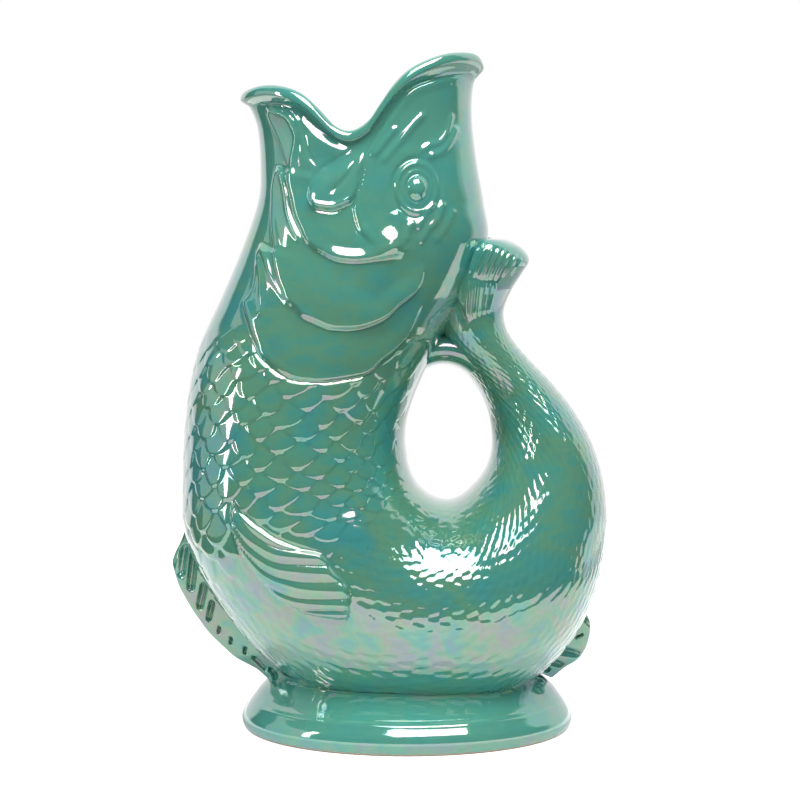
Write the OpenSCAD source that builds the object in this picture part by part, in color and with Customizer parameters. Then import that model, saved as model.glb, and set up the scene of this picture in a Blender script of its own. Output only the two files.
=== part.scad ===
// Gurgle jug: a leaping fish, cast hollow in earthenware, on an oval foot.
// X runs from the spout (-X) to the tail (+X), Y across, Z up from the table.
// The fish faces -X, so its left side is the -Y side.

/* [Jug] */
// Height of the jug, table to upper lip, mm
jug_h = 280; // [220:1:340]
// Length of the jug, belly fin to back of the tail, mm
jug_l = 181.5; // [145:0.5:220]
// Depth of the belly, side to side, mm
body_depth = 110; // [88:1:132]
// Depth of the head, side to side, mm
head_depth = 84; // [68:1:100]
// Depth of the tail at its wrist, side to side, mm
wrist_depth = 29; // [22:1:36]
// Thickness of the cast wall, mm
wall = 4.5; // [3.5:0.25:6]

/* [Mouth] */
// How far the corners of the mouth dip below the lips, mm
mouth_dip = 22.4; // [14:0.2:30]
// Height of the rolled lip, mm
lip_h = 3.8; // [2.5:0.1:5]
// How far the rolled lip stands out from the throat, mm
lip_out = 0.9; // [0.4:0.1:1.6]

/* [Finger loop] */
// Width of the opening for the fingers, mm
grip_w = 36.8; // [31:0.2:42]
// Height of the opening for the fingers, mm
grip_h = 56; // [48:0.5:62]
// Middle of the opening behind the middle of the jug, mm
grip_x = 24.7; // [20:0.1:29]
// Middle of the opening above the table, mm
grip_z = 123.8; // [116:0.2:131]
// Radius of the rounded top of the opening, mm
grip_top_r = 13.7; // [11.5:0.1:16]
// Height of the web of clay over that rounded top, mm
web_h = 11; // [9:0.5:13]
// Depth of that web, side to side, mm
web_depth = 30; // [24:0.5:36]

/* [Foot] */
// Length of the oval foot, mm
foot_l = 138.6; // [120:0.2:156]
// Depth of the oval foot, side to side, mm
foot_depth = 118.4; // [102:0.2:132]
// Height of the foot, mm
foot_h = 22.4; // [18:0.2:27]
// Middle of the foot behind the middle of the jug, mm
foot_x = 7.5; // [2:0.1:13]
// Width of the ring that stands on the table, mm
foot_ring = 9.5; // [7:0.25:12]
// Thickness of the floor of the jug, mm
floor_t = 5; // [4:0.25:7]

/* [Relief] */
// Height of the gill collar above the skin, mm
collar_t = 1.2; // [0.8:0.1:2]
// Height of the gill cover above the skin, mm
cover_t = 1.8; // [1.2:0.1:2.6]
// Height of the jaw plate above the skin, mm
jaw_t = 2.4; // [1.6:0.1:3.2]
// Height of the fold at the corner of the mouth, mm
fold_t = 3.4; // [2.4:0.1:4.2]
// Height of the rim around the eye, mm
socket_t = 2; // [1.2:0.1:2.8]
// Width of the rim around the eye, mm
socket_w = 4.2; // [3:0.2:5.4]
// Diameter of the eyeball that shows, mm
eye_d = 11; // [8:0.2:12.6]
// Gap between the eyeball and the rim around it, mm
eye_gap = 0.6; // [0.4:0.1:1]
// Height of the web of the side fin above the skin, mm
side_fin_t = 1.4; // [1:0.1:2.2]
// Height of the rays of the side fin above the skin, mm
side_ray_t = 2.6; // [1.8:0.1:3.4]
// Width of one ray of the side fin, mm
side_ray_w = 3; // [2:0.1:4]

/* [Fins] */
// Thickness of the belly fin at its root, mm
belly_fin_root_t = 13; // [9:0.5:17]
// Thickness of the belly fin at its edge, mm
belly_fin_edge_t = 5; // [3:0.25:7]
// Thickness of the rear fin at its root, mm
rear_fin_root_t = 11; // [8:0.5:15]
// Thickness of the rear fin at its edge, mm
rear_fin_edge_t = 5; // [3:0.25:7]
// Depth of the grooves between the rays of the tail fin, mm
tail_groove = 0.9; // [0.4:0.1:1.4]

/* [Hidden] */
$fn = 180;
// Points round each ring of the body, and rings between two stations
round_steps = 56;
rise_steps = 2;
// Overrun of every cut, mm
over = 1;

// Side view steps: the jug spans these many steps in length and height
side_l_px = 434;
side_h_px = 669.5;
side_mid_px = 389;
side_base_px = 726;
function side_x(u) = (u - side_mid_px) * jug_l / side_l_px;
function side_z(v) = (side_base_px - v) * jug_h / side_h_px;
function side(p) = [side_x(p[0]), side_z(p[1])];

// The finger loop spans these many steps, about its own middle
grip_w_px = 88;
grip_h_px = 134;
grip_mid_px = [448, 430];
function grip(p) = [grip_x + (p[0] - grip_mid_px[0]) * grip_w / grip_w_px,
                    grip_z + (grip_mid_px[1] - p[1]) * grip_h / grip_h_px];

// Relief on the near skin looks a little larger than on the middle plane
near_share = 0.965;
eye_level_share = 0.893;
function near(p) = [side_x(p[0]) * near_share,
    jug_h * eye_level_share + (side_z(p[1]) - jug_h * eye_level_share) * near_share];

// Stations of the body: belly point, back point, half depth share, squareness, lean share
head_px = [
  [[246,  92], [479,  62], 0.869, 2.10, 0.00],
  [[254, 108], [472,  84], 0.810, 2.10, 0.00],
  [[260, 132], [471, 120], 0.821, 2.10, 0.00],
  [[262, 165], [476, 162], 0.881, 2.15, 0.00],
  [[260, 198], [483, 202], 0.940, 2.20, 0.00],
  [[245, 243], [487, 238], 1.000, 2.20, 0.00],
  [[225, 290], [470, 286], 1.048, 2.20, 0.03]];
neck_px = [
  [[205, 334], [444, 332], 0.827, 2.20, 0.05]];
body_px = [
  [[193, 378], [420, 378], 0.855, 2.20, 0.08],
  [[187, 425], [406, 420], 0.891, 2.20, 0.10],
  [[185, 475], [407, 455], 0.927, 2.20, 0.12],
  [[187, 530], [415, 478], 0.964, 2.20, 0.12],
  [[212, 590], [426, 490], 0.991, 2.20, 0.10],
  [[262, 652], [436, 496], 1.000, 2.15, 0.08],
  [[335, 698], [444, 498], 1.000, 2.10, 0.06],
  [[420, 710], [451, 498], 1.000, 2.10, 0.06],
  [[500, 697], [459, 495], 0.968, 2.10, 0.06],
  [[562, 650], [468, 488], 0.909, 2.15, 0.08],
  [[593, 595], [479, 476], 0.818, 2.20, 0.10]];
tail_px = [
  [[605, 540], [487, 462], 2.724, 2.20, 0.10],
  [[604, 488], [491, 446], 2.345, 2.20, 0.10],
  [[593, 444], [491, 428], 2.034, 2.15, 0.08],
  [[574, 409], [487, 407], 1.759, 2.10, 0.05],
  [[551, 380], [478, 387], 1.517, 2.10, 0.03],
  [[527, 355], [464, 368], 1.400, 2.10, 0.00],
  [[509, 332], [448, 350], 1.400, 2.10, -0.05],
  [[503, 310], [438, 325], 1.440, 2.10, -0.12],
  [[510, 289], [441, 296], 1.520, 2.15, -0.18]];
// The fan spreads to both sides round the back of the head, and closes at its top
fan_px = [
  [[521, 271], [447, 277], 1.590, 2.20, -0.22],
  [[528, 258], [456, 258], 1.640, 2.25, -0.24],
  [[521, 246], [465, 243], 1.600, 2.25, -0.22],
  [[507, 238], [472, 236], 1.350, 2.20, -0.18],
  [[496, 236.5], [479, 236], 0.850, 2.10, -0.08]];

// Station numbers where the cast sections meet, and where the hollow of the tail ends
neck_at = len(head_px);
stern_at = neck_at + len(neck_px) + len(body_px) - 2;
wrist_at = stern_at + 1 + len(tail_px);
fan_end_at = wrist_at + len(fan_px);
solid_wrist_stations = 2.5;
hollow_end_at = wrist_at - solid_wrist_stations;
// The tail and its fin lie against the body down to this station
lean_end_at = neck_at + 3;

function row(r, back, depth) =
    let (b = side(r[0]), d = back)
    [b[0], b[1], d[0], d[1], depth * r[2] / 2, r[3], r[4]];
rows = concat(
    [for (r = head_px) row(r, side(r[1]), head_depth)],
    [for (r = neck_px) row(r, side(r[1]), body_depth)],
    [for (r = body_px) row(r, grip(r[1]), body_depth)],
    [for (i = [0 : len(tail_px) - 1])
        row(tail_px[i], i < 5 ? grip(tail_px[i][1]) : side(tail_px[i][1]), wrist_depth)],
    [for (r = fan_px) row(r, side(r[1]), wrist_depth)]);

// A smooth curve through the stations
function curve(a, b, c, d, f) = (2 * b + (c - a) * f
    + (2 * a - 5 * b + 4 * c - d) * f * f + (3 * b - a - 3 * c + d) * f * f * f) / 2;
function station(s) =
    let (n = len(rows) - 1, i = max(0, min(floor(s), n - 1)), f = s - i,
         b = rows[i], c = rows[i + 1],
         a = i > 0 ? rows[i - 1] : 2 * b - c,
         d = i + 2 <= n ? rows[i + 2] : 2 * c - b)
    curve(a, b, c, d, f);

// The line of the lips: dip share against the way from back (-1) to belly (1)
dip_shares = [
  [-1, 0], [-0.96, -0.11], [-0.88, -0.155], [-0.72, -0.16], [-0.55, -0.08], [-0.40, 0.06],
  [-0.28, 0.28], [-0.17, 0.58], [-0.06, 0.87], [0.09, 1], [0.24, 0.85], [0.43, 0.38],
  [0.56, 0.15], [0.72, 0.01], [0.86, -0.03], [1, 0]];
// The dip, and the room that the rolled lip takes, fade out over these many stations
dip_reach = 6;
lip_reach = 2;
function dip(c, s) = mouth_dip * lookup(c, dip_shares) * max(0, 1 - s / dip_reach)
    + lip_h * max(0, 1 - s / lip_reach);

function spread(v, p) = sign(v) * pow(abs(v), 2 / p);
// One point of the skin at station s and turn t, moved out by out (in, if less than zero)
function skin(s, t, out = 0) =
    let (q = station(s), b = [q[0], q[1]], d = [q[2], q[3]],
         mid = (b + d) / 2, half = (b - d) / 2, k = (norm(half) + out) / norm(half),
         c = spread(cos(t), q[5]), n = spread(sin(t), q[5]))
    [mid[0] + half[0] * k * c,
     (q[4] + out) * n * (1 + q[6] * c),
     mid[1] + half[1] * k * c - dip(c, s)];
function ring(s, out = 0) =
    [for (i = [0 : round_steps - 1]) skin(s, 360 * i / round_steps, out)];
function steps_between(a, b, fine = rise_steps) =
    let (n = ceil((b - a) * fine)) [for (i = [0 : n]) a + (b - a) * i / n];

function flat_list(rings) = [for (r = rings) each r];
// Faces between the rings of one tube, seen from outside or from within
function wall_faces(from, count, rings, inward) =
    [for (j = [0 : rings - 2], i = [0 : count - 1])
        let (a = from + j * count + i, b = from + j * count + (i + 1) % count,
             c = b + count, d = a + count)
        each inward ? [[a, b, c], [a, c, d]] : [[c, b, a], [d, c, a]]];
// Faces of the flat band between an outer and an inner ring
function band_faces(outer, inner, count, flip) =
    [for (i = [0 : count - 1])
        let (a = outer + i, b = outer + (i + 1) % count,
             c = inner + (i + 1) % count, d = inner + i)
        each flip ? [[c, b, a], [d, c, a]] : [[a, b, c], [a, c, d]]];

// A closed solid through a list of rings
module solid_loft(rings) {
    count = len(rings[0]);
    last = (len(rings) - 1) * count;
    polyhedron(flat_list(rings), concat(
        wall_faces(0, count, len(rings), false),
        [[for (i = [0 : count - 1]) i]],
        [[for (i = [count - 1 : -1 : 0]) last + i]]), 10);
}

// A tube with a wall, open at both ends, or with its inside closed at the far end
module shell_loft(outer, inner, closed = false) {
    count = len(outer[0]);
    in_at = len(outer) * count;
    out_last = (len(outer) - 1) * count;
    in_last = in_at + (len(inner) - 1) * count;
    ends = closed
        ? [[for (i = [count - 1 : -1 : 0]) out_last + i], [for (i = [0 : count - 1]) in_last + i]]
        : band_faces(out_last, in_last, count, true);
    polyhedron(concat(flat_list(outer), flat_list(inner)), concat(
        wall_faces(0, count, len(outer), false),
        wall_faces(in_at, count, len(inner), true),
        band_faces(0, in_at, count, false), ends), 10);
}

// Keeps a cut of two lofts as one faceted solid
module one_mesh() { resize([0, 0, 0]) children(); }

// The full body between two stations, grown or shrunk
module body_solid(from, to, out = 0) {
    solid_loft([for (s = steps_between(from, to)) ring(s, out)]);
}

// Everything below the top of the foot
module below_foot_top() {
    translate([-jug_l, -jug_l, -jug_l]) cube([2 * jug_l, 2 * jug_l, jug_l + foot_h]);
}

// Rolled lip of the mouth, its section as shares of the wall (across) and lip_h (up)
lip_section_shares = [
  [1, 0], [1.10, 0.14], [1.20, 0.34], [1.18, 0.62], [0.98, 0.88], [0.66, 1],
  [0.34, 0.92], [0.08, 0.68], [0, 0.34], [0, 0]];
function lip_point(i, e) =
    let (t = 360 * i / round_steps, o = skin(0, t), p = skin(0, t, -wall),
         across = e[0] > 1 ? 1 + (e[0] - 1) * lip_out / (0.2 * wall) : e[0])
    p + (o - p) * across + [0, 0, e[1] * lip_h];
module mouth_rim() {
    count = len(lip_section_shares);
    pts = [for (i = [0 : round_steps - 1], e = lip_section_shares) lip_point(i, e)];
    faces = [for (i = [0 : round_steps - 1], j = [0 : count - 1])
        let (k = (i + 1) % round_steps, m = (j + 1) % count,
             a = i * count + j, b = k * count + j, c = k * count + m, d = i * count + m)
        each j == count - 1 ? [[a, b, d], [b, c, d]] : [[a, b, c], [a, c, d]]];
    color("#4d9c86") polyhedron(pts, faces, 10);
}

// Head and throat, open at the mouth and into the trunk
module head() {
    at = steps_between(0, neck_at);
    color("#479a83") shell_loft([for (s = at) ring(s)], [for (s = at) ring(s, -wall)]);
}

// Belly and the part under the finger loop, open upward, into the tail and onto the foot
module trunk() {
    at = steps_between(neck_at, stern_at);
    color("#3f947c") one_mesh() difference() {
        shell_loft([for (s = at) ring(s)], [for (s = at) ring(s, -wall)]);
        below_foot_top();
    }
}

// Web of clay between the wrist of the tail and the neck, over the finger loop
grip_top_px = [443, 362];
web_from = 45;
web_turn = 97;
web_steps = 48;
module loop_web() {
    top = grip(grip_top_px);
    translate([top[0], 0, top[1] - grip_top_r]) rotate([90, -web_from, 0])
        rotate_extrude(angle = web_turn, $fn = web_steps) translate([grip_top_r + web_h / 2, 0])
            scale([web_h / web_depth, 1]) circle(d = web_depth);
}

// Hollow tail: the air chamber, open to the trunk and closed at the wrist
module tail() {
    out_at = steps_between(stern_at, wrist_at);
    in_at = steps_between(stern_at, hollow_end_at);
    color("#3c8f79") one_mesh() difference() {
        union() {
            shell_loft([for (s = out_at) ring(s)], [for (s = in_at) ring(s, -wall)], true);
            difference() {
                loop_web();
                solid_loft([for (s = in_at) ring(s, -wall / 2)]);
            }
        }
        body_solid(0, lean_end_at);
    }
}

// Tail fin: a fan on the wrist, lying against the back of the head
fan_rays = 7;
fan_count = 2 * round_steps;
function fan_ring(s, fade) =
    [for (i = [0 : fan_count - 1])
        let (t = 360 * i / fan_count, p = skin(s, t), c = cos(t),
             g = tail_groove * fade * (1 - cos(360 * fan_rays * (c + 1) / 2)) / 2
                 * max(0, 1 - pow(c, 4)))
        p - [0, sign(p[1]) * min(abs(p[1]), g), 0]];
module tail_fin() {
    at = steps_between(wrist_at, fan_end_at);
    color("#55a68f") one_mesh() difference() {
        solid_loft([for (s = at) fan_ring(s, min(1, s - wrist_at))]);
        body_solid(0, lean_end_at);
    }
}

// Oval foot: its side as shares of the half length (out) and foot_h (up)
foot_top_share = 0.785;
foot_side_shares = [
  [0.978, 0], [0.992, 0.03], [1, 0.10], [1, 0.19], [0.992, 0.29], [0.974, 0.41],
  [0.946, 0.55], [0.914, 0.68], [0.882, 0.80], [0.852, 0.89], [0.820, 0.96], [foot_top_share, 1]];
foot_cove_share = 0.5;
module foot() {
    half = foot_l / 2;
    under_r = half - foot_ring;
    under_h = foot_h - floor_t;
    color("#45967f") translate([foot_x, 0, 0]) difference() {
        scale([1, foot_depth / foot_l, 1]) rotate_extrude() polygon(concat(
            [[foot_side_shares[0][0] * half, -over]],
            [for (e = foot_side_shares) [e[0] * half, e[1] * foot_h]],
            [[0, foot_h], [0, under_h], [under_r - floor_t, under_h],
             [under_r - floor_t / 3, under_h - floor_t * foot_cove_share],
             [under_r, under_h - 2 * floor_t], [under_r, -over]]));
        // The flat ring that the jug stands on
        translate([-jug_l, -jug_l, -2 * over]) cube([2 * jug_l, 2 * jug_l, 2 * over]);
    }
}

// A fin that stands on the middle plane, from its root line to its edge line
fin_mid_share = 0.6;
fin_mid_fill_share = 0.8;
module plane_fin(root, edge, root_t, edge_t) {
    n = len(root);
    mid_t = edge_t + (root_t - edge_t) * (1 - fin_mid_share) * fin_mid_fill_share;
    lines = [for (i = [0 : n - 1])
        let (r = side(root[i]), e = side(edge[i]), m = r + (e - r) * fin_mid_share)
        [[r[0], -root_t / 2, r[1]], [m[0], -mid_t / 2, m[1]], [e[0], -edge_t / 4, e[1]],
         [e[0], edge_t / 4, e[1]], [m[0], mid_t / 2, m[1]], [r[0], root_t / 2, r[1]]]];
    count = len(lines[0]);
    polyhedron(flat_list(lines), concat(
        wall_faces(0, count, n, false),
        [[for (i = [0 : count - 1]) i]],
        [[for (i = [count - 1 : -1 : 0]) (n - 1) * count + i]]), 10);
}

// Fin along the front of the belly
belly_fin_edge_px = [
  [185, 527], [180, 540], [175, 550], [172, 560], [174, 571], [178, 584], [184, 596],
  [191, 608], [199, 620], [208, 632], [220, 644], [233, 656], [245, 663], [256, 669],
  [264, 676], [270, 682]];
belly_fin_root_px = [
  [196, 524], [197, 536], [200, 546], [203, 556], [208, 567], [214, 579], [220, 590],
  [227, 602], [236, 613], [246, 624], [257, 634], [268, 643], [279, 651], [290, 658],
  [300, 664], [310, 670]];
module belly_fin() {
    color("#5aa893") one_mesh() difference() {
        plane_fin(belly_fin_root_px, belly_fin_edge_px, belly_fin_root_t, belly_fin_edge_t);
        body_solid(neck_at, stern_at);
        below_foot_top();
    }
}

// Fin low on the back of the tail
rear_fin_edge_px = [
  [584, 608], [588, 614], [591, 622], [591, 632], [589, 641], [586, 649], [579, 659],
  [568, 666], [560, 672], [553, 678]];
rear_fin_root_px = [
  [578, 604], [576, 610], [573, 616], [570, 622], [566, 628], [561, 634], [554, 642],
  [545, 650], [536, 658], [527, 664]];
module rear_fin() {
    color("#5aa893") one_mesh() difference() {
        plane_fin([for (i = [len(rear_fin_root_px) - 1 : -1 : 0]) rear_fin_root_px[i]],
            [for (i = [len(rear_fin_edge_px) - 1 : -1 : 0]) rear_fin_edge_px[i]],
            rear_fin_root_t, rear_fin_edge_t);
        body_solid(neck_at, stern_at + 3);
        below_foot_top();
    }
}

// A piece of relief on the left side: an outline raised above the skin of the body
module relief(from, to, height) {
    one_mesh() difference() {
        intersection() {
            body_solid(from, to, height);
            rotate([90, 0, 0]) linear_extrude(body_depth) children();
        }
        body_solid(0, stern_at);
    }
}
module right_side() { mirror([0, 1, 0]) children(); }

// Lines of the gills: lower edge of the jaw plate, of the gill cover and of the collar
jaw_line_px = [
  [267, 110], [270, 119], [279, 143], [287, 166], [291, 188], [295, 208], [301, 228],
  [309, 242], [323, 251.5], [341, 259.5], [356.5, 262.4], [376, 259.5], [392, 256.5], [402, 253.5]];
cover_line_px = [
  [277.5, 163.6], [272.5, 186], [271.5, 218], [272.5, 242], [275.5, 267], [283, 295],
  [297, 311], [315, 323], [333, 329.6], [349, 330.6], [368, 328], [388, 320], [404, 307],
  [418, 289], [424, 273], [426, 260]];
collar_line_px = [
  [259.7, 243.6], [252, 262], [248, 285], [247, 310], [249.5, 340], [259.5, 355], [273, 368],
  [286, 376.5], [299, 380], [319, 381.5], [342, 379], [367, 373], [380, 361], [395.5, 348],
  [411, 330], [420, 312], [426, 292]];
function reversed(p) = [for (i = [len(p) - 1 : -1 : 0]) p[i]];
function part_of(p, from, to) = [for (i = [from : to]) p[i]];
module outline(points) { polygon([for (p = points) near(p)]); }

module left_gill_collar() {
    color("#4aa089") relief(4, 10, collar_t)
        outline(concat(collar_line_px, reversed(part_of(cover_line_px, 2, 15))));
}
module right_gill_collar() { right_side() left_gill_collar(); }

module left_gill_cover() {
    color("#52a892") relief(2, 9, cover_t)
        outline(concat(cover_line_px, [[412, 250]], reversed(part_of(jaw_line_px, 3, 13))));
}
module right_gill_cover() { right_side() left_gill_cover(); }

// Jaw plate, from the lower lip to the jaw line
jaw_inner_px = [
  [390, 246], [376, 246], [366, 239], [358, 226], [355, 212], [344, 210], [330, 214], [316, 212],
  [308, 200], [305, 186], [306, 160], [303, 134], [294, 118], [281, 108]];
module left_jaw() {
    color("#5cb09a") relief(0.5, 6, jaw_t) outline(concat(jaw_line_px, jaw_inner_px));
}
module right_jaw() { right_side() left_jaw(); }

// Fold of skin at the corner of the mouth
fold_px = [
  [311, 186], [312, 198], [317, 206], [329, 208], [343, 204], [354, 194], [363, 178], [369, 158],
  [374, 142], [366, 140], [352, 146], [334, 158], [319, 171]];
module left_mouth_fold() { color("#64b5a0") relief(0.5, 5, fold_t) outline(fold_px); }
module right_mouth_fold() { right_side() left_mouth_fold(); }

// Eye socket rim: an oval about the eye, and the eyeball in it
eye_px = [416.4, 187.3];
// The rim is taller than it is wide
socket_tall_share = 1.24;
module left_eye_socket() {
    hole_r = eye_d / 2 + eye_gap;
    color("#5cb09a") relief(1, 6, socket_t) translate(near(eye_px))
        scale([1, socket_tall_share]) difference() {
            circle(hole_r + socket_w, $fn = 36);
            circle(hole_r, $fn = 30);
        }
}
module right_eye_socket() { right_side() left_eye_socket(); }

// The eyeball bulges out of the skin by a share of its width
eye_bulge_share = 0.34;
// Station and turn of the skin under the eye
eye_at = 3.62;
eye_turn = 249;
module left_eye() {
    seat = skin(eye_at, eye_turn);
    spot = near(eye_px);
    color("#3b8a74") one_mesh() difference() {
        translate([spot[0], seat[1], spot[1]]) scale([1, eye_bulge_share * 2, 1])
            sphere(eye_d / 2, $fn = 26);
        body_solid(0, neck_at);
    }
}
module right_eye() { right_side() left_eye(); }

// Side fin: a web with rays that fan back from its root
side_fin_upper_px = [
  [232, 500], [243, 516], [263, 534], [276, 545.6], [301, 554], [320, 557]];
side_fin_tips_px = [[332, 572], [344, 590], [349, 593], [347, 603], [347, 613]];
side_fin_lower_px = [
  [347, 619.5], [326, 616], [301, 608], [276, 591], [253, 566], [234.6, 534]];
// Rays as start, bend, bend and tip
side_rays_px = [
  [[236, 508], [252, 526], [280, 546], [318, 559]],
  [[235, 514], [254, 538], [284, 559], [328, 572]],
  [[235, 520], [256, 549], [288, 572], [338, 584]],
  [[235, 526], [257, 558], [292, 584], [344, 595]],
  [[236, 532], [258, 566], [296, 595], [345, 606]],
  [[238, 539], [262, 575], [302, 604], [344, 616]]];
module side_ray(line) {
    for (i = [0 : len(line) - 2])
        let (a = near(line[i]), b = near(line[i + 1]), d = b - a)
        translate(a) rotate(atan2(d[1], d[0]))
            translate([0, -side_ray_w / 2]) square([norm(d) + side_ray_w / 3, side_ray_w]);
}
module left_side_fin() {
    color("#62b39e") one_mesh() difference() {
        union() {
            intersection() {
                body_solid(neck_at + 3, stern_at - 1, side_fin_t);
                rotate([90, 0, 0]) linear_extrude(body_depth)
                    outline(concat(side_fin_upper_px, side_fin_tips_px, side_fin_lower_px));
            }
            intersection() {
                body_solid(neck_at + 3, stern_at - 1, side_ray_t);
                rotate([90, 0, 0]) linear_extrude(body_depth)
                    for (line = side_rays_px) side_ray(line);
            }
        }
        body_solid(neck_at, stern_at);
    }
}
module right_side_fin() { right_side() left_side_fin(); }

mouth_rim();
head();
trunk();
tail();
tail_fin();
foot();
belly_fin();
rear_fin();
left_jaw();
right_jaw();
left_mouth_fold();
right_mouth_fold();
left_gill_cover();
right_gill_cover();
left_gill_collar();
right_gill_collar();
left_eye_socket();
right_eye_socket();
left_eye();
right_eye();
left_side_fin();
right_side_fin();
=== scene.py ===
# Gurgle jug: the fish's glazed skin, its relief and its lustre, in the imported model's frame.
import itertools
import math

import bpy
import numpy as np
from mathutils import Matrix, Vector

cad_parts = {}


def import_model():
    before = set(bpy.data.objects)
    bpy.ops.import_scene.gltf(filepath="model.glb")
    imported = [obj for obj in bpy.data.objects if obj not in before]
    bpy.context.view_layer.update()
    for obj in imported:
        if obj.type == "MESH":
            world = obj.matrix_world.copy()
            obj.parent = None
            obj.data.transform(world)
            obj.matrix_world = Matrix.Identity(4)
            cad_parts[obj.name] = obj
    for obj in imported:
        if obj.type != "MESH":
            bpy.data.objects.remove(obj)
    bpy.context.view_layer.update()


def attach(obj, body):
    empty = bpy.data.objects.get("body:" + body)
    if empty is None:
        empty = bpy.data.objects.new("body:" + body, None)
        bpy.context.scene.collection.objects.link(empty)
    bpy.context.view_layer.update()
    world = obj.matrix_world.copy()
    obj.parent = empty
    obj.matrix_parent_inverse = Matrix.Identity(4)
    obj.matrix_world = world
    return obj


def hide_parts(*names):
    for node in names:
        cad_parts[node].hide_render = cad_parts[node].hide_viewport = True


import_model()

# Sizes in millimetres, as in the part's source
MM = 0.001
JUG_H, JUG_L = 280.0, 181.5
HEAD_DEPTH, BODY_DEPTH, WRIST_DEPTH = 84.0, 110.0, 29.0
WALL = 4.5
MOUTH_DIP, DIP_REACH = 22.4, 6.0
LIP_H, LIP_REACH = 3.8, 2.0
GRIP_W, GRIP_H, GRIP_X, GRIP_Z = 36.8, 56.0, 24.7, 123.8
FOOT_L, FOOT_DEPTH, FOOT_H, FOOT_X, FOOT_RING, FLOOR_T = 138.6, 118.4, 22.4, 7.5, 9.5, 5.0

# The photograph's camera, millimetres, and its scale at the jug's middle plane
CAMERA_AT = np.array([4.56, -1000.0, 226.3])
CAMERA_TO = np.array([4.56, 0.0, 137.45])
LENS_PX = 2408.7
IMAGE_PX = 800.0
SENSOR = 36.0
# The photograph's measures: the jug's box, its middle and base line, and the finger loop
SIDE_L_PX, SIDE_H_PX, SIDE_MID_PX, SIDE_BASE_PX = 434.0, 669.5, 389.0, 726.0
GRIP_W_PX, GRIP_H_PX, GRIP_MID_PX = 88.0, 134.0, (448.0, 430.0)

# Stations of the skin: outer point, inner point, share of the depth, squareness, lean
HEAD_PX = [
    (246, 92, 479, 62, 0.869, 2.1, 0), (254, 108, 472, 84, 0.81, 2.1, 0),
    (260, 132, 471, 120, 0.821, 2.1, 0), (262, 165, 476, 162, 0.881, 2.15, 0),
    (260, 198, 483, 202, 0.94, 2.2, 0), (245, 243, 487, 238, 1, 2.2, 0),
    (225, 290, 470, 286, 1.048, 2.2, 0.03)]
NECK_PX = [(205, 334, 444, 332, 0.827, 2.2, 0.05)]
BODY_PX = [
    (193, 378, 420, 378, 0.855, 2.2, 0.08), (187, 425, 406, 420, 0.891, 2.2, 0.1),
    (185, 475, 407, 455, 0.927, 2.2, 0.12), (187, 530, 415, 478, 0.964, 2.2, 0.12),
    (212, 590, 426, 490, 0.991, 2.2, 0.1), (262, 652, 436, 496, 1, 2.15, 0.08),
    (335, 698, 444, 498, 1, 2.1, 0.06), (420, 710, 451, 498, 1, 2.1, 0.06),
    (500, 697, 459, 495, 0.968, 2.1, 0.06), (562, 650, 468, 488, 0.909, 2.15, 0.08),
    (593, 595, 479, 476, 0.818, 2.2, 0.1)]
TAIL_PX = [
    (605, 540, 487, 462, 2.724, 2.2, 0.1), (604, 488, 491, 446, 2.345, 2.2, 0.1),
    (593, 444, 491, 428, 2.034, 2.15, 0.08), (574, 409, 487, 407, 1.759, 2.1, 0.05),
    (551, 380, 478, 387, 1.517, 2.1, 0.03), (527, 355, 464, 368, 1.4, 2.1, 0),
    (509, 332, 448, 350, 1.4, 2.1, -0.05), (503, 310, 438, 325, 1.44, 2.1, -0.12),
    (510, 289, 441, 296, 1.52, 2.15, -0.18)]
FAN_PX = [
    (521, 271, 447, 277, 1.59, 2.2, -0.22), (528, 258, 456, 258, 1.64, 2.25, -0.24),
    (521, 246, 465, 243, 1.6, 2.25, -0.22), (507, 238, 472, 236, 1.35, 2.2, -0.18),
    (496, 236.5, 479, 236, 0.85, 2.1, -0.08)]
# The first stations of the tail take their inner points from the finger loop
TAIL_BY_GRIP = 5
# Stations at which the sections meet, and where the hollow of the tail ends
NECK_AT, BELLY_END, STERN_AT, WRIST_AT, FAN_END = 7, 12, 17, 27, 32
HOLLOW_END = 24.5
# How far the mouth's edge dips: -1 at the back to 1 at the spout, share of MOUTH_DIP
DIP_SHARES = [
    (-1, 0), (-0.96, -0.11), (-0.88, -0.155), (-0.72, -0.16), (-0.55, -0.08), (-0.40, 0.06),
    (-0.28, 0.28), (-0.17, 0.58), (-0.06, 0.87), (0.09, 1), (0.24, 0.85), (0.43, 0.38),
    (0.56, 0.15), (0.72, 0.01), (0.86, -0.03), (1, 0)]

# The skin lies this far inside the CAD's, which is flat between its points
UNDER_CAD = 0.04

# The fine grid of the skin: columns round it, and rows for each station of a section
COLUMNS = 520
HALF = COLUMNS // 2
ROWS_PER_STATION = [
    (0, NECK_AT, 32), (NECK_AT, STERN_AT, 36), (STERN_AT, WRIST_AT, 19), (WRIST_AT, FAN_END, 24)]


# Skin of the jug
def side(u, v):
    """Millimetres in the middle plane, measured from the jug's own box in the photograph."""
    return (u - SIDE_MID_PX) * JUG_L / SIDE_L_PX, (SIDE_BASE_PX - v) * JUG_H / SIDE_H_PX


def grip(u, v):
    """The same, measured from the finger loop."""
    return (GRIP_X + (u - GRIP_MID_PX[0]) * GRIP_W / GRIP_W_PX,
            GRIP_Z + (GRIP_MID_PX[1] - v) * GRIP_H / GRIP_H_PX)


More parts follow.
